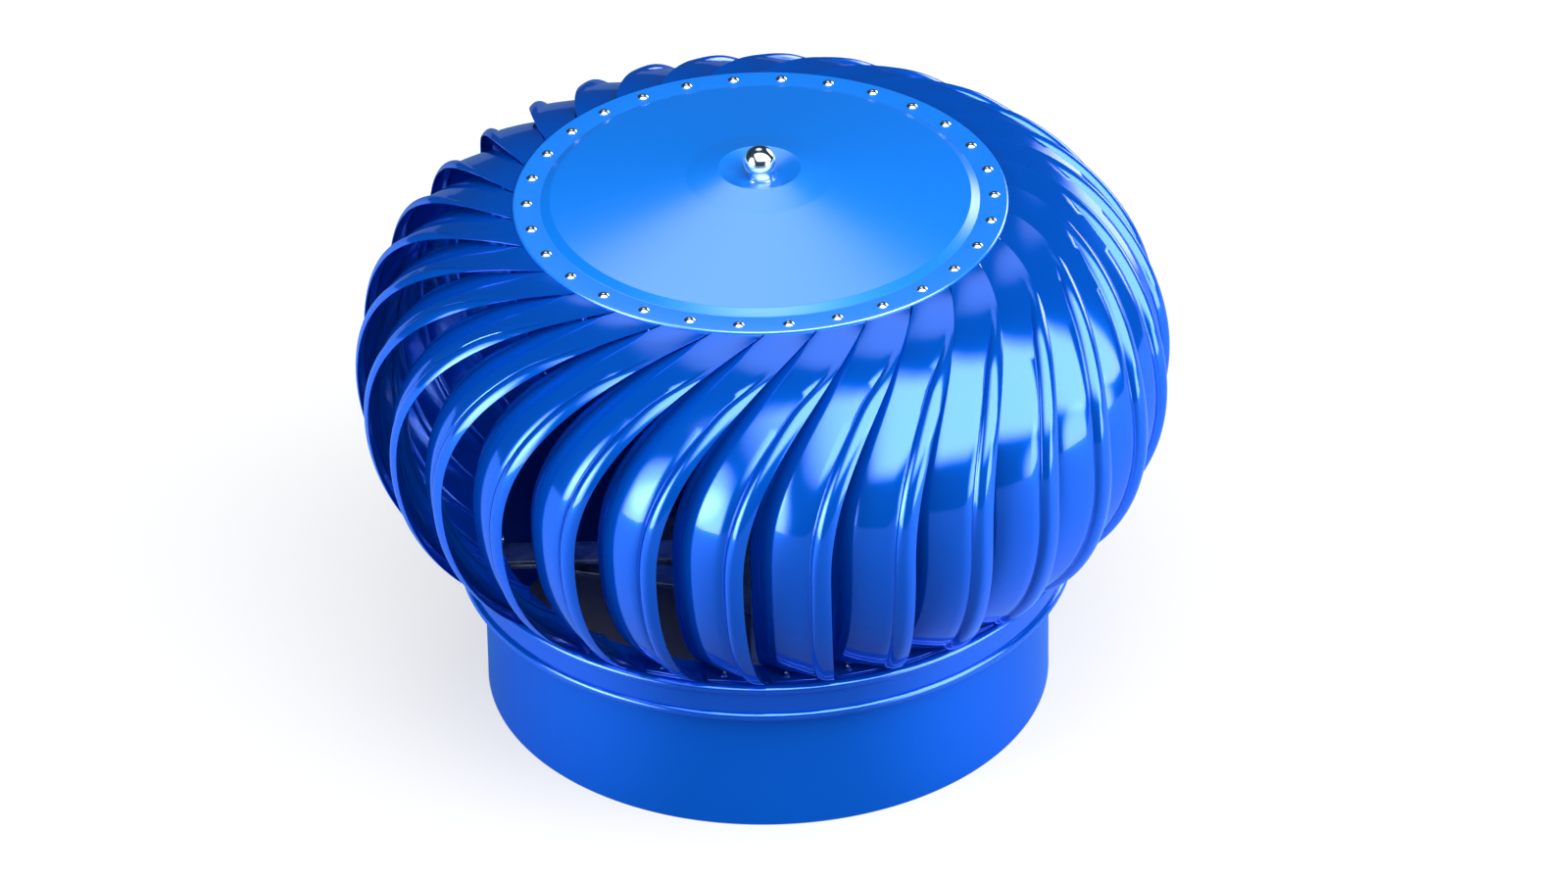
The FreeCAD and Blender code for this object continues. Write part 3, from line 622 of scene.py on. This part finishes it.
foot_outer, foot_inner = stations[0][0], stations[0][1]
tongue_low = VANE_TOP - VANE_SHEET
tabs_mesh = bmesh.new()
foot_corner = spot(TIP_RADIUS - FOOT_TAB_INSET, FOOT_TAB_MARGIN - PITCH, RING_PLANE)
plate(tabs_mesh, [foot_outer, foot_corner, foot_inner], VANE_SHEET)
tongue_end = CAP_RADIUS - TONGUE_REACH
plate(tabs_mesh, [spot(CAP_RADIUS, RIM_AZIMUTH, tongue_low),
                  spot(tongue_end, RIM_AZIMUTH - TONGUE_TAPER, tongue_low),
                  spot(tongue_end, RIM_AZIMUTH - RIM_LAP + TONGUE_TAPER, tongue_low),
                  spot(CAP_RADIUS, RIM_AZIMUTH - RIM_LAP, tongue_low)], VANE_SHEET)
bmesh.ops.recalc_face_normals(tabs_mesh, faces=tabs_mesh.faces)
bmesh.ops.bevel(tabs_mesh, geom=list(tabs_mesh.edges), offset=TAB_EDGE * MM, segments=1,
                affect="EDGES", clamp_overlap=True)
tabs = built("vane_tabs", tabs_mesh)
print("tabs have", len(tabs.data.polygons), "faces")

# %% [markdown]
# ## The vane in Geometry Nodes
# A grid is laid between the rails. Its columns are shared out over the bead, the body and the
# rib, so that the narrow folds get as many as they need. Three curves hold the crown of the body
# and the sections of the bead and the rib, and the tree lifts each point along the facing
# direction. Then the sheet is given its thickness and copied thirty times round the axis. A rule
# like this is easier to tune than thirty sculpted parts: one number moves every bead.

# %% Vane tree
BEAD_ZONE = 19.0
BEAD_HEIGHT = 3.8
RIB_ZONE = 11.0
RIB_HEIGHT = 1.3
BEAD_END = 0.85
BEAD_ROUNDNESS = 0.9
BEAD_STEPS = 16
LEAST_BEAD = 0.45
GROOVE_DEPTH = 0.22
GROOVE_ROUNDNESS = 0.7
CROWN_STEPS = 12
BEAD_COLUMNS = 15
BODY_COLUMNS = 6
RIB_COLUMNS = 5
COLUMNS = BEAD_COLUMNS + BODY_COLUMNS + RIB_COLUMNS + 1
BEAD_SHARE = BEAD_COLUMNS / (COLUMNS - 1)
RIB_SHARE = (BEAD_COLUMNS + BODY_COLUMNS) / (COLUMNS - 1)
MERGE_DISTANCE = 0.01


def new_tree(name, sockets):
    """A geometry tree with a geometry output and named inputs."""
    tree = bpy.data.node_groups.new(name, "GeometryNodeTree")
    tree.interface.new_socket("Geometry", in_out="OUTPUT", socket_type="NodeSocketGeometry")
    tree.interface.new_socket("Geometry", in_out="INPUT", socket_type="NodeSocketGeometry")
    for label, kind in sockets:
        tree.interface.new_socket(label, in_out="INPUT", socket_type=kind)
    return tree, add_node(tree, "NodeGroupInput").outputs


def calc(tree, operation, first, second=0.0):
    """One sum on numbers."""
    return add_node(tree, "ShaderNodeMath", {0: first, 1: second}, operation=operation).outputs[0]


def calc_vector(tree, operation, first, second=(0, 0, 0)):
    """One sum on vectors; it gives a number for a length or a dot product."""
    node = add_node(tree, "ShaderNodeVectorMath", {0: first}, operation=operation)
    slot_name = "Scale" if operation == "SCALE" else 1
    if isinstance(second, bpy.types.NodeSocket):
        tree.links.new(second, node.inputs[slot_name])
    else:
        node.inputs[slot_name].default_value = second
    return node.outputs["Value" if operation in ("DOT_PRODUCT", "LENGTH") else "Vector"]


def drawn_curve(tree, value, points):
    """A Float Curve node whose straight or round handles follow the listed points."""
    node = add_node(tree, "ShaderNodeFloatCurve", {"Value": value})
    curve = node.mapping.curves[0]
    node.mapping.use_clip = False
    while len(curve.points) < len(points):
        curve.points.new(0.5, 0.5)
    for point, (x, y, handle) in zip(curve.points, points):
        point.location = (x, y)
        point.handle_type = handle
    node.mapping.update()
    return node.outputs["Value"]


vane_tree, given = new_tree("thirty pressed vanes", [
    ("Outer Rail", "NodeSocketObject"), ("Inner Rail", "NodeSocketObject"),
    ("Tabs", "NodeSocketObject"), ("Rows", "NodeSocketInt"), ("Columns", "NodeSocketInt"),
    ("Bead Zone", "NodeSocketFloat"), ("Bead Height", "NodeSocketFloat"),
    ("Rib Zone", "NodeSocketFloat"), ("Rib Height", "NodeSocketFloat"),
    ("Sheet", "NodeSocketFloat"), ("Count", "NodeSocketInt"),
    ("Material", "NodeSocketMaterial")])
grid = add_node(vane_tree, "GeometryNodeMeshGrid", {
    "Size X": 1.0, "Size Y": 1.0, "Vertices X": given["Columns"], "Vertices Y": given["Rows"]})
share = add_node(vane_tree, "ShaderNodeSeparateXYZ", {"Vector": grid.outputs["UV Map"]}).outputs
row = calc(vane_tree, "ROUND", calc(vane_tree, "MULTIPLY", share["Y"],
                                    calc(vane_tree, "SUBTRACT", given["Rows"], 1.0)))
outer_shape = add_node(vane_tree, "GeometryNodeObjectInfo", {"Object": given["Outer Rail"]})
inner_shape = add_node(vane_tree, "GeometryNodeObjectInfo", {"Object": given["Inner Rail"]})
position = add_node(vane_tree, "GeometryNodeInputPosition").outputs["Position"]


def read_rail(shape, value, kind):
    """A value at the rail's point that belongs to the row."""
    return add_node(vane_tree, "GeometryNodeSampleIndex", {
        "Geometry": shape.outputs["Geometry"], "Value": value, "Index": row},
        data_type=kind, clamp=True).outputs["Value"]


def named(name, kind):
    """What a rail stores under a name."""
    return add_node(vane_tree, "GeometryNodeInputNamedAttribute", {"Name": name},
                    data_type=kind).outputs["Attribute"]


outer_at = read_rail(outer_shape, position, "FLOAT_VECTOR")
inner_at = read_rail(inner_shape, position, "FLOAT_VECTOR")
facing_at = read_rail(outer_shape, named("facing", "FLOAT_VECTOR"), "FLOAT_VECTOR")
crown_at = read_rail(outer_shape, named("crown", "FLOAT"), "FLOAT")
bead_at = read_rail(outer_shape, named("bead", "FLOAT"), "FLOAT")
chord = calc_vector(vane_tree, "SUBTRACT", inner_at, outer_at)
chord_length = calc_vector(vane_tree, "LENGTH", chord)
along = calc_vector(vane_tree, "NORMALIZE", chord)
sunk = calc_vector(vane_tree, "SCALE", along,
                   calc_vector(vane_tree, "DOT_PRODUCT", facing_at, along))
lift_way = calc_vector(vane_tree, "NORMALIZE", calc_vector(vane_tree, "SUBTRACT", facing_at, sunk))


def zone(start, end):
    """How far a column has come through its zone, from 0 to 1."""
    return add_node(vane_tree, "ShaderNodeMapRange", {
        "Value": share["X"], "From Min": start, "From Max": end}).outputs["Result"]


in_bead, in_body, in_rib = zone(0, BEAD_SHARE), zone(BEAD_SHARE, RIB_SHARE), zone(RIB_SHARE, 1)
grown = calc(vane_tree, "ADD", LEAST_BEAD, calc(vane_tree, "MULTIPLY", bead_at, 1 - LEAST_BEAD))
bead_zone = calc(vane_tree, "MULTIPLY", given["Bead Zone"], grown)
body_zone = calc(vane_tree, "SUBTRACT", chord_length,
                 calc(vane_tree, "ADD", bead_zone, given["Rib Zone"]))
across = calc(vane_tree, "ADD", calc(vane_tree, "MULTIPLY", in_bead, bead_zone),
              calc(vane_tree, "ADD", calc(vane_tree, "MULTIPLY", in_body, body_zone),
                   calc(vane_tree, "MULTIPLY", in_rib, given["Rib Zone"])))
along_share = calc(vane_tree, "DIVIDE", across, chord_length)
crown_points = []
for step in range(CROWN_STEPS + 1):
    x = step / CROWN_STEPS
    rising = math.sin(math.pi / 2 * x / CROWN_PLACE)
    falling = math.cos(math.pi / 2 * (x - CROWN_PLACE) / (1 - CROWN_PLACE))
    crown_points.append((x, rising if x < CROWN_PLACE else falling, "AUTO"))
crown_line = drawn_curve(vane_tree, along_share, crown_points)
crowned = calc(vane_tree, "MULTIPLY", calc(vane_tree, "MULTIPLY", crown_at, MM), crown_line)
bead_points = []
for step in range(BEAD_STEPS + 1):
    x = step / BEAD_STEPS
    round_top = math.sin(math.pi * min(x / BEAD_END, 1)) ** BEAD_ROUNDNESS
    dip = math.sin(math.pi * max((x - BEAD_END) / (1 - BEAD_END), 0)) ** GROOVE_ROUNDNESS
    bead_points.append((x, round_top - GROOVE_DEPTH * dip, "AUTO"))
bead_line = drawn_curve(vane_tree, in_bead, bead_points)
rib_line = drawn_curve(vane_tree, in_rib, [
    (0.0, 0.0, "VECTOR"), (0.3, -0.55, "AUTO"), (0.48, -0.35, "AUTO"), (0.72, 0.85, "AUTO"),
    (0.86, 1.0, "AUTO"), (1.0, 0.35, "VECTOR")])
lift = calc(vane_tree, "ADD", crowned, calc(
    vane_tree, "MULTIPLY", bead_at, calc(
        vane_tree, "ADD", calc(vane_tree, "MULTIPLY", bead_line, given["Bead Height"]),
        calc(vane_tree, "MULTIPLY", rib_line, given["Rib Height"]))))
on_chord = calc_vector(vane_tree, "ADD", outer_at, calc_vector(vane_tree, "SCALE", along, across))
target = calc_vector(vane_tree, "ADD", on_chord, calc_vector(vane_tree, "SCALE", lift_way, lift))
face = add_node(vane_tree, "GeometryNodeSetPosition", {
    "Geometry": grid.outputs["Mesh"], "Position": target})
back = add_node(vane_tree, "GeometryNodeExtrudeMesh", {
    "Mesh": face.outputs["Geometry"], "Individual": False,
    "Offset Scale": calc(vane_tree, "MULTIPLY", given["Sheet"], -1.0)}, mode="FACES")
flipped = add_node(vane_tree, "GeometryNodeFlipFaces", {"Mesh": back.outputs["Mesh"]})


def join(one, two):
    """Two shapes as one."""
    both = add_node(vane_tree, "GeometryNodeJoinGeometry")
    for shape in (one, two):
        vane_tree.links.new(shape, both.inputs["Geometry"])
    return both.outputs["Geometry"]


merged = add_node(vane_tree, "GeometryNodeMergeByDistance", {
    "Geometry": join(face.outputs["Geometry"], flipped.outputs["Mesh"]),
    "Distance": MERGE_DISTANCE * MM})
tab_shape = add_node(vane_tree, "GeometryNodeObjectInfo", {"Object": given["Tabs"]})
whole = join(merged.outputs["Geometry"], tab_shape.outputs["Geometry"])


def repeat_round_axis(tree, given, shape):
    """Ends a tree with copies of a shape, turned evenly round the axis and given a material."""
    places = add_node(tree, "GeometryNodeMeshLine", {
        "Count": given["Count"], "Offset": (0, 0, 0)})
    number = add_node(tree, "GeometryNodeInputIndex").outputs["Index"]
    turn = calc(tree, "MULTIPLY", number, calc(tree, "DIVIDE", 2 * math.pi, given["Count"]))
    turned = add_node(tree, "ShaderNodeCombineXYZ", {"Z": turn}).outputs["Vector"]
    copies = add_node(tree, "GeometryNodeInstanceOnPoints", {
        "Points": places.outputs["Mesh"], "Instance": shape, "Rotation": turned})
    plain = add_node(tree, "GeometryNodeRealizeInstances", {
        "Geometry": copies.outputs["Instances"]})
    dressed = add_node(tree, "GeometryNodeSetMaterial", {
        "Geometry": plain.outputs["Geometry"], "Material": given["Material"]})
    add_node(tree, "NodeGroupOutput", {"Geometry": dressed.outputs["Geometry"]})


repeat_round_axis(vane_tree, given, whole)
print("vane tree has", len(vane_tree.nodes), "nodes")

# %% [markdown]
# ## From tree to plain mesh
# The tree runs as a modifier on an empty mesh. Its inputs are set by their identifiers before it
# is first evaluated, the evaluated shape is taken as a plain mesh, and the modifier goes.

# %% Vanes as one mesh
def grow(name, tree, values):
    """Runs a geometry tree with the given inputs and returns its result as a plain object."""
    piece = add_object(name, bpy.data.meshes.new(name))
    modifier = piece.modifiers.new("grow", "NODES")
    modifier.node_group = tree
    for item in tree.interface.items_tree:
        if item.in_out == "INPUT" and item.name in values:
            modifier[item.identifier] = values[item.name]
    evaluated = piece.evaluated_get(bpy.context.evaluated_depsgraph_get())
    data = bpy.data.meshes.new_from_object(evaluated)
    piece.modifiers.clear()
    piece.data = data
    return piece


vanes = grow("pressed_vanes", vane_tree, {
    "Outer Rail": outer_rail, "Inner Rail": inner_rail, "Tabs": tabs, "Rows": ROWS,
    "Columns": COLUMNS, "Bead Zone": BEAD_ZONE * MM, "Bead Height": BEAD_HEIGHT * MM,
    "Rib Zone": RIB_ZONE * MM, "Rib Height": RIB_HEIGHT * MM, "Sheet": VANE_SHEET * MM,
    "Count": VANE_COUNT, "Material": vane_coating})
vane_nodes = ["vane_%02d" % number for number in range(1, VANE_COUNT + 1)]
finish_piece(vanes, vane_coating, "rotor", vane_nodes, PLATE_ANGLE)
for helper in (outer_rail, inner_rail, tabs):
    bpy.data.objects.remove(helper)

# %% [markdown]
# ## Rivets
# Two circles of blind rivets hold the vanes. On the cap their heads are closed domes. On the
# ring they are open: the pin has snapped off inside, which leaves a bright ring round a dark
# hole. One of each is turned on the lathe and a small tree sets it round the axis.

# %% Rivets
RIVET_SHANK = 2.4
CAP_RIVET_REACH = 4.75
CAP_RIVET_DOME = 2.4
CAP_RIVET_INSET = 12.0
CAP_RIVET_RADIUS = CAP_RADIUS - CAP_RIVET_INSET
CAP_RIVET_AZIMUTH = RIM_AZIMUTH - RIM_LAP / 2
CAP_GRIP = CAP_SHEET + TOP_RING_SHEET + VANE_SHEET
RING_RIVET_REACH = 4.2
RING_RIVET_DOME = 1.6
RING_RIVET_BORE = 1.4
RING_RIVET_INSET = 16.5
RING_RIVET_RADIUS = RING_INNER_RADIUS + RING_RIVET_INSET
RING_RIVET_TURN = 8.6
RING_RIVET_AZIMUTH = PITCH - RING_RIVET_TURN
RING_GRIP = VANE_SHEET + RING_SHEET
TAIL_FLARE = 0.8
TAIL_RADIUS = RIVET_SHANK + TAIL_FLARE
TAIL_LENGTH = 3.6
TAIL_BEND = 0.9
TAIL_SEAT = 0.6
TAIL_TIP_RADIUS = TAIL_RADIUS * 0.7
TAIL_NECK_RADIUS = TAIL_RADIUS * 0.9
HEAD_EDGE = 0.35
HEAD_CHAMFER = 0.1
BORE_LIP = 0.2
BORE_EDGE = 0.25
LIP_DROP = 0.12
PIN_RADIUS = 0.55
PIN_HEIGHT = 0.6
PIN_EDGE = 0.2
PIN_ROUND = 0.1
RIVET_TURN = 24


def tail_line(grip):
    """The set tail under the sheets, from the axis up to the head's seat."""
    end = -grip - TAIL_LENGTH
    return [(0.0, end), (TAIL_TIP_RADIUS, end), (TAIL_RADIUS, end + TAIL_BEND),
            (TAIL_RADIUS, -grip - TAIL_SEAT), (TAIL_NECK_RADIUS, -grip), (RIVET_SHANK, -grip),
            (RIVET_SHANK, 0.0)]


def dome_line(reach, dome, steps):
    """A low dome with a small upright edge."""
    rise = dome - HEAD_EDGE
    curve = (reach ** 2 + rise ** 2) / (2 * rise)
    half = math.degrees(math.asin(reach / curve))
    arc = arc_points((0.0, dome - curve), curve, 90 - half, 90, steps)
    return [(reach - HEAD_CHAMFER, 0.0)] + arc


cap_rivet_line = tail_line(CAP_GRIP) + dome_line(CAP_RIVET_REACH, CAP_RIVET_DOME, 8)
cap_rivet_line[-1] = (0.0, CAP_RIVET_DOME)
open_dome = [point for point in dome_line(RING_RIVET_REACH, RING_RIVET_DOME, 10)
             if point[0] > RING_RIVET_BORE + BORE_EDGE]
ring_rivet_line = tail_line(RING_GRIP) + open_dome + [
    (RING_RIVET_BORE + BORE_LIP, RING_RIVET_DOME - LIP_DROP),
    (RING_RIVET_BORE, RING_RIVET_DOME - 2 * BORE_LIP), (RING_RIVET_BORE, 0.0),
    (PIN_RADIUS, 0.0), (PIN_RADIUS - PIN_EDGE, PIN_HEIGHT - PIN_ROUND), (0.0, PIN_HEIGHT)]

rivet_tree, given = new_tree("rivets round the axis", [
    ("Rivet", "NodeSocketObject"), ("Count", "NodeSocketInt"), ("Material", "NodeSocketMaterial")])
rivet_shape = add_node(rivet_tree, "GeometryNodeObjectInfo", {"Object": given["Rivet"]})
repeat_round_axis(rivet_tree, given, rivet_shape.outputs["Geometry"])


def rivet_circle(name, outline, place, node):
    """One rivet turned, moved to its place in its own mesh, and repeated."""
    single = lathe("single_rivet", outline, RIVET_TURN)
    single.data.transform(Matrix.Translation(place * MM))
    circle = grow(name, rivet_tree, {
        "Rivet": single, "Count": VANE_COUNT, "Material": rivet_aluminium})
    bpy.data.objects.remove(single)
    finish_piece(circle, rivet_aluminium, "rotor", [node], PLATE_ANGLE)


rivet_circle("cap_rivet_heads", cap_rivet_line,
             spot(CAP_RIVET_RADIUS, CAP_RIVET_AZIMUTH, CAP_LEVEL), "cap_rivets")
rivet_circle("ring_rivet_heads", ring_rivet_line,
             spot(RING_RIVET_RADIUS, RING_RIVET_AZIMUTH, RING_PLANE + VANE_SHEET), "ring_rivets")

# %% [markdown]
# ## Hardware taken from the construction
# The bearing tube, its arms and braces, the shaft and their fasteners are cut and turned shapes
# that the construction already holds exactly. Each is copied, its loose triangles are welded,
# and a fine bevel breaks its edges, as deburring does, so that they catch light.

# %% Dressed hardware
WELD_DISTANCE = 0.002
FLAT_ANGLE = math.radians(1.0)
EDGE_ANGLE = math.radians(PLATE_ANGLE)


def weld(node):
    """A welded, smooth copy of a construction node."""
    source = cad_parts[node]
    mesh = bmesh.new()
    mesh.from_mesh(source.data)
    bmesh.ops.remove_doubles(mesh, verts=mesh.verts, dist=WELD_DISTANCE * MM)
    bmesh.ops.dissolve_limit(mesh, angle_limit=FLAT_ANGLE, verts=mesh.verts, edges=mesh.edges)
    bmesh.ops.recalc_face_normals(mesh, faces=mesh.faces)
    return built(node + "_finished", mesh)


def dress(node, material, body, edge_mm):
    """A welded copy with broken edges in place of a construction node."""
    piece = weld(node)
    bevel = piece.modifiers.new("broken edges", "BEVEL")
    bevel.width = edge_mm * MM
    bevel.segments = 2
    bevel.limit_method = "ANGLE"
    bevel.angle_limit = EDGE_ANGLE
    bevel.use_clamp_overlap = True
    finish_piece(piece, material, body, [node], PLATE_ANGLE)


for number in range(1, 5):
    for node in ("bearing_arm_%d", "bearing_brace_%d"):
        dress(node % number, galvanised, "base", 0.5)
for node, material, body, slot, edge_mm in (
        ("bearing_tube", galvanised, "base", "galvanised_steel", 0.4),
        ("arm_bolts", zinc_plate, "base", "zinc_plated_steel", 0.25),
        ("arm_nuts", zinc_plate, "base", "zinc_plated_steel", 0.25),
        ("arm_washers", zinc_plate, "base", "zinc_plated_steel", 0.15),
        ("bearing_outer_rings", bearing_steel, "base", "bearing_steel", 0.3),
        ("bearing_circlips", phosphate, "base", "spring_steel", 0.15),
        ("dust_plug", polypropylene, "base", "black_plastic", 0.4),
        ("bearing_inner_rings", bearing_steel, "rotor", "bearing_steel", 0.3),
        ("bearing_spacer", ground_steel, "rotor", "ground_steel", 0.2),
        ("rotor_shaft", ground_steel, "rotor", "ground_steel", 0.3),
        ("shaft_foot_washer", zinc_plate, "rotor", "zinc_plated_steel", 0.15),
        ("shaft_foot_nut", zinc_plate, "rotor", "zinc_plated_steel", 0.25),
        ("rain_collar", spun_aluminium, "rotor", "pressed_aluminium", 0.25),
        ("hub_nut", zinc_plate, "rotor", "zinc_plated_steel", 0.25),
        ("hub_plate", galvanised, "rotor", "galvanised_steel", 0.3),
        ("top_ring", blue_coating, "rotor", "blue_sheet", 0.2)):
    dress(node, material, body, edge_mm)

# %% [markdown]
# ## Floor
# The photograph has a white floor that fades into a white background, yet the coating mirrors a
# darker, cooler floor. One big plane does both. The camera sees it mid grey with a little glow,
# which starts at the throat's wall, so the inside of the throat stays dark. Reflections see a
# blue-grey with painted shade in front and painted light to the sides, so the middle of the
# throat mirrors the painted shade and stays deep, and its sides mirror the painted light and look
# bright.

# %% Floor
FLOOR_REACH = 9.0
FLOOR_GLOW = 0.6
GLOW_EDGE = 1.0
FLOOR_GRAIN = 25.0
SIDE_START = 0.3
SIDE_END = 0.95
PAINTED_SHADE_FRONT = "#35506a"
PAINTED_LIGHT_SIDE = "#6fa8d4"
SEEN_GREY = "#7d7e7f"

floor_paint, tree, floor_shader, place = new_material(
    "matt white floor paint", SEEN_GREY, 0.0, 0.8, **{"Emission Color": shade("#ffffff")})
matt = noise(tree, place, FLOOR_GRAIN)
tree.links.new(spread(tree, matt, 0.75, 0.85), floor_shader.inputs["Roughness"])
reach = calc_vector(tree, "LENGTH", place)
glow = fade(tree, reach, (THROAT_RADIUS - GLOW_EDGE) * MM, (THROAT_RADIUS + GLOW_EDGE) * MM,
            FLOOR_GLOW)
looked_at = add_node(tree, "ShaderNodeLightPath").outputs["Is Camera Ray"]
tree.links.new(calc(tree, "MULTIPLY", glow, looked_at), floor_shader.inputs["Emission Strength"])
# Painted light and shade for reflections only: the floor is painted darker in front and lighter to
# the sides.
heading = add_node(tree, "ShaderNodeSeparateXYZ", {
    "Vector": calc_vector(tree, "NORMALIZE", place)}).outputs["X"]
painted_light_share = fade(tree, calc(tree, "ABSOLUTE", heading), SIDE_START, SIDE_END)
painted_light_and_shade = blend(tree, painted_light_share, shade(PAINTED_SHADE_FRONT), shade(PAINTED_LIGHT_SIDE))
paint = blend(tree, looked_at, painted_light_and_shade, shade(SEEN_GREY))
tree.links.new(paint, floor_shader.inputs["Base Color"])
floor_data = bpy.data.meshes.new("floor")
corners = [(x * FLOOR_REACH, y * FLOOR_REACH, 0) for x, y in ((-1, -1), (1, -1), (1, 1), (-1, 1))]
floor_data.from_pydata(corners, [], [(0, 1, 2, 3)])
floor_data.materials.append(floor_paint)
floor = add_object("floor", floor_data)
print("floor is", 2 * FLOOR_REACH, "m wide")

# %% [markdown]
# ## Room light
# Glossy metal is drawn by what it mirrors, so the room matters more than any lamp. The walls are
# dim and cool, which keeps the blue deep and free of violet. One wide window overhead, to the
# front and right, makes the light zone on the right-hand vanes, and its front edge is the crisp
# line across them. It is set out on a level ceiling: a direction divided by its height gives the
# place where it meets that ceiling. Five small soft lights finish the job: at the left for the
# white lines on ring and beads, low at the left and right for the sides of the throat, low behind
# at the right for the streaks there, and high behind for the pale front of the cap.

# %% Room light
WINDOW_LIGHT = 6.2
BACKDROP = 0.92
HORIZON = 0.05
FAR_START = -0.1
FAR_END = 0.35
COOL_WALL = "#8fd0ff"
COOL_BELOW = 0.15
WHITE_ABOVE = 0.6
SOFT_LIGHTS = [((-0.85, -0.38, 0.34), 0.93, 0.99, 4.5), ((-0.85, -0.5, 0.05), 0.88, 0.99, 7.0),
               ((0.8, -0.5, 0.04), 0.93, 0.99, 6.0), ((0.66, 0.72, 0.22), 0.94, 0.99, 6.0),
               ((-0.05, 0.6, 0.8), 0.95, 0.992, 1.1)]
room = bpy.data.worlds.new("white room")
scene.world = room
room.use_nodes = True
tree = room.node_tree
tree.nodes.clear()
direction = add_node(tree, "ShaderNodeTexCoord").outputs["Generated"]
parts = add_node(tree, "ShaderNodeSeparateXYZ", {"Vector": direction}).outputs


def wall(levels):
    """Brightness by height: stops of (sine of the elevation, grey level)."""
    ramp = add_node(tree, "ShaderNodeValToRGB", {"Fac": parts["Z"]})
    stops = ramp.color_ramp.elements
    stops[0].position, stops[1].position = levels[0][0], levels[-1][0]
    for place_on_ramp, level in levels[1:-1]:
        stops.new(place_on_ramp)
    for stop, (place_on_ramp, level) in zip(stops, levels):
        stop.position = place_on_ramp
        stop.color = (level, level, level, 1.0)
    return ramp.outputs["Color"]


near_wall = wall([(0.0, 0.08), (0.06, 0.1), (0.2, 0.14), (0.5, 0.16), (0.75, 0.12), (1.0, 0.1)])
far_wall = wall([(0.0, 0.1), (0.2, 0.08), (0.5, 0.08), (0.75, 0.1), (0.93, 0.1), (1.0, 0.1)])
walls = blend(tree, fade(tree, parts["Y"], FAR_START, FAR_END), near_wall, far_wall)


def lit(shape, light, total):
    """A shape times its brightness, added to the light so far."""
    return add_node(tree, "ShaderNodeMath", {0: shape, 1: light, 2: total},
                    operation="MULTIPLY_ADD").outputs[0]


raised = calc(tree, "MAXIMUM", parts["Z"], HORIZON)
side = calc(tree, "DIVIDE", parts["X"], raised)
ahead = calc(tree, "DIVIDE", parts["Y"], raised)
width = calc(tree, "MULTIPLY", fade(tree, side, -0.9, 0.0), fade(tree, side, 9.0, 6.0))
depth = calc(tree, "MULTIPLY", fade(tree, ahead, -1.9, -1.1), fade(tree, ahead, 0.12, -0.1))
strength = lit(calc(tree, "MULTIPLY", width, depth), WINDOW_LIGHT, walls)
for way, edge, centre, light in SOFT_LIGHTS:
    near = calc_vector(tree, "DOT_PRODUCT", direction, Vector(way).normalized())
    strength = lit(fade(tree, near, edge, centre), light, strength)
seen = add_node(tree, "ShaderNodeLightPath").outputs["Is Camera Ray"]
shown = blend(tree, seen, strength, BACKDROP, "FLOAT")
brightness = add_node(tree, "ShaderNodeMapRange", {
    "Value": shown, "From Min": COOL_BELOW, "From Max": WHITE_ABOVE}).outputs["Result"]
hue = blend(tree, brightness, shade(COOL_WALL), shade("#ffffff"))
background = add_node(tree, "ShaderNodeBackground", {"Color": hue, "Strength": shown})
add_node(tree, "ShaderNodeOutputWorld", {"Surface": background.outputs["Background"]})
print("room has one window and", len(SOFT_LIGHTS), "soft lights")

# %% [markdown]
# ## Camera
# The picture was taken from about 33 degrees above the floor, from far away with a long lens, so
# the ellipses hardly change with depth. The object also leans a degree to the left in it.

# %% Camera
LENS_MM = 202.5
SENSOR_MM = 36.0
AIM_HEIGHT = 0.2351
DISTANCE = 7.751
ELEVATION = math.radians(33.27)
ROLL = math.radians(-1.0)
SIDE_SHIFT = 0.0124
FAR_CLIP = 60.0

camera_data = bpy.data.cameras.new("long lens")
camera_data.lens = LENS_MM
camera_data.sensor_width = SENSOR_MM
camera_data.shift_x = SIDE_SHIFT
camera_data.clip_end = FAR_CLIP
camera = add_object("long lens", camera_data)
camera.location = (0, -DISTANCE * math.cos(ELEVATION), AIM_HEIGHT + DISTANCE * math.sin(ELEVATION))
look = (Vector((0, 0, AIM_HEIGHT)) - camera.location).to_track_quat("-Z", "Y")
camera.rotation_euler = (look.to_matrix() @ Matrix.Rotation(ROLL, 3, "Z")).to_euler()
scene.camera = camera
scene.view_settings.view_transform = "Standard"
print("camera is", DISTANCE, "m away")
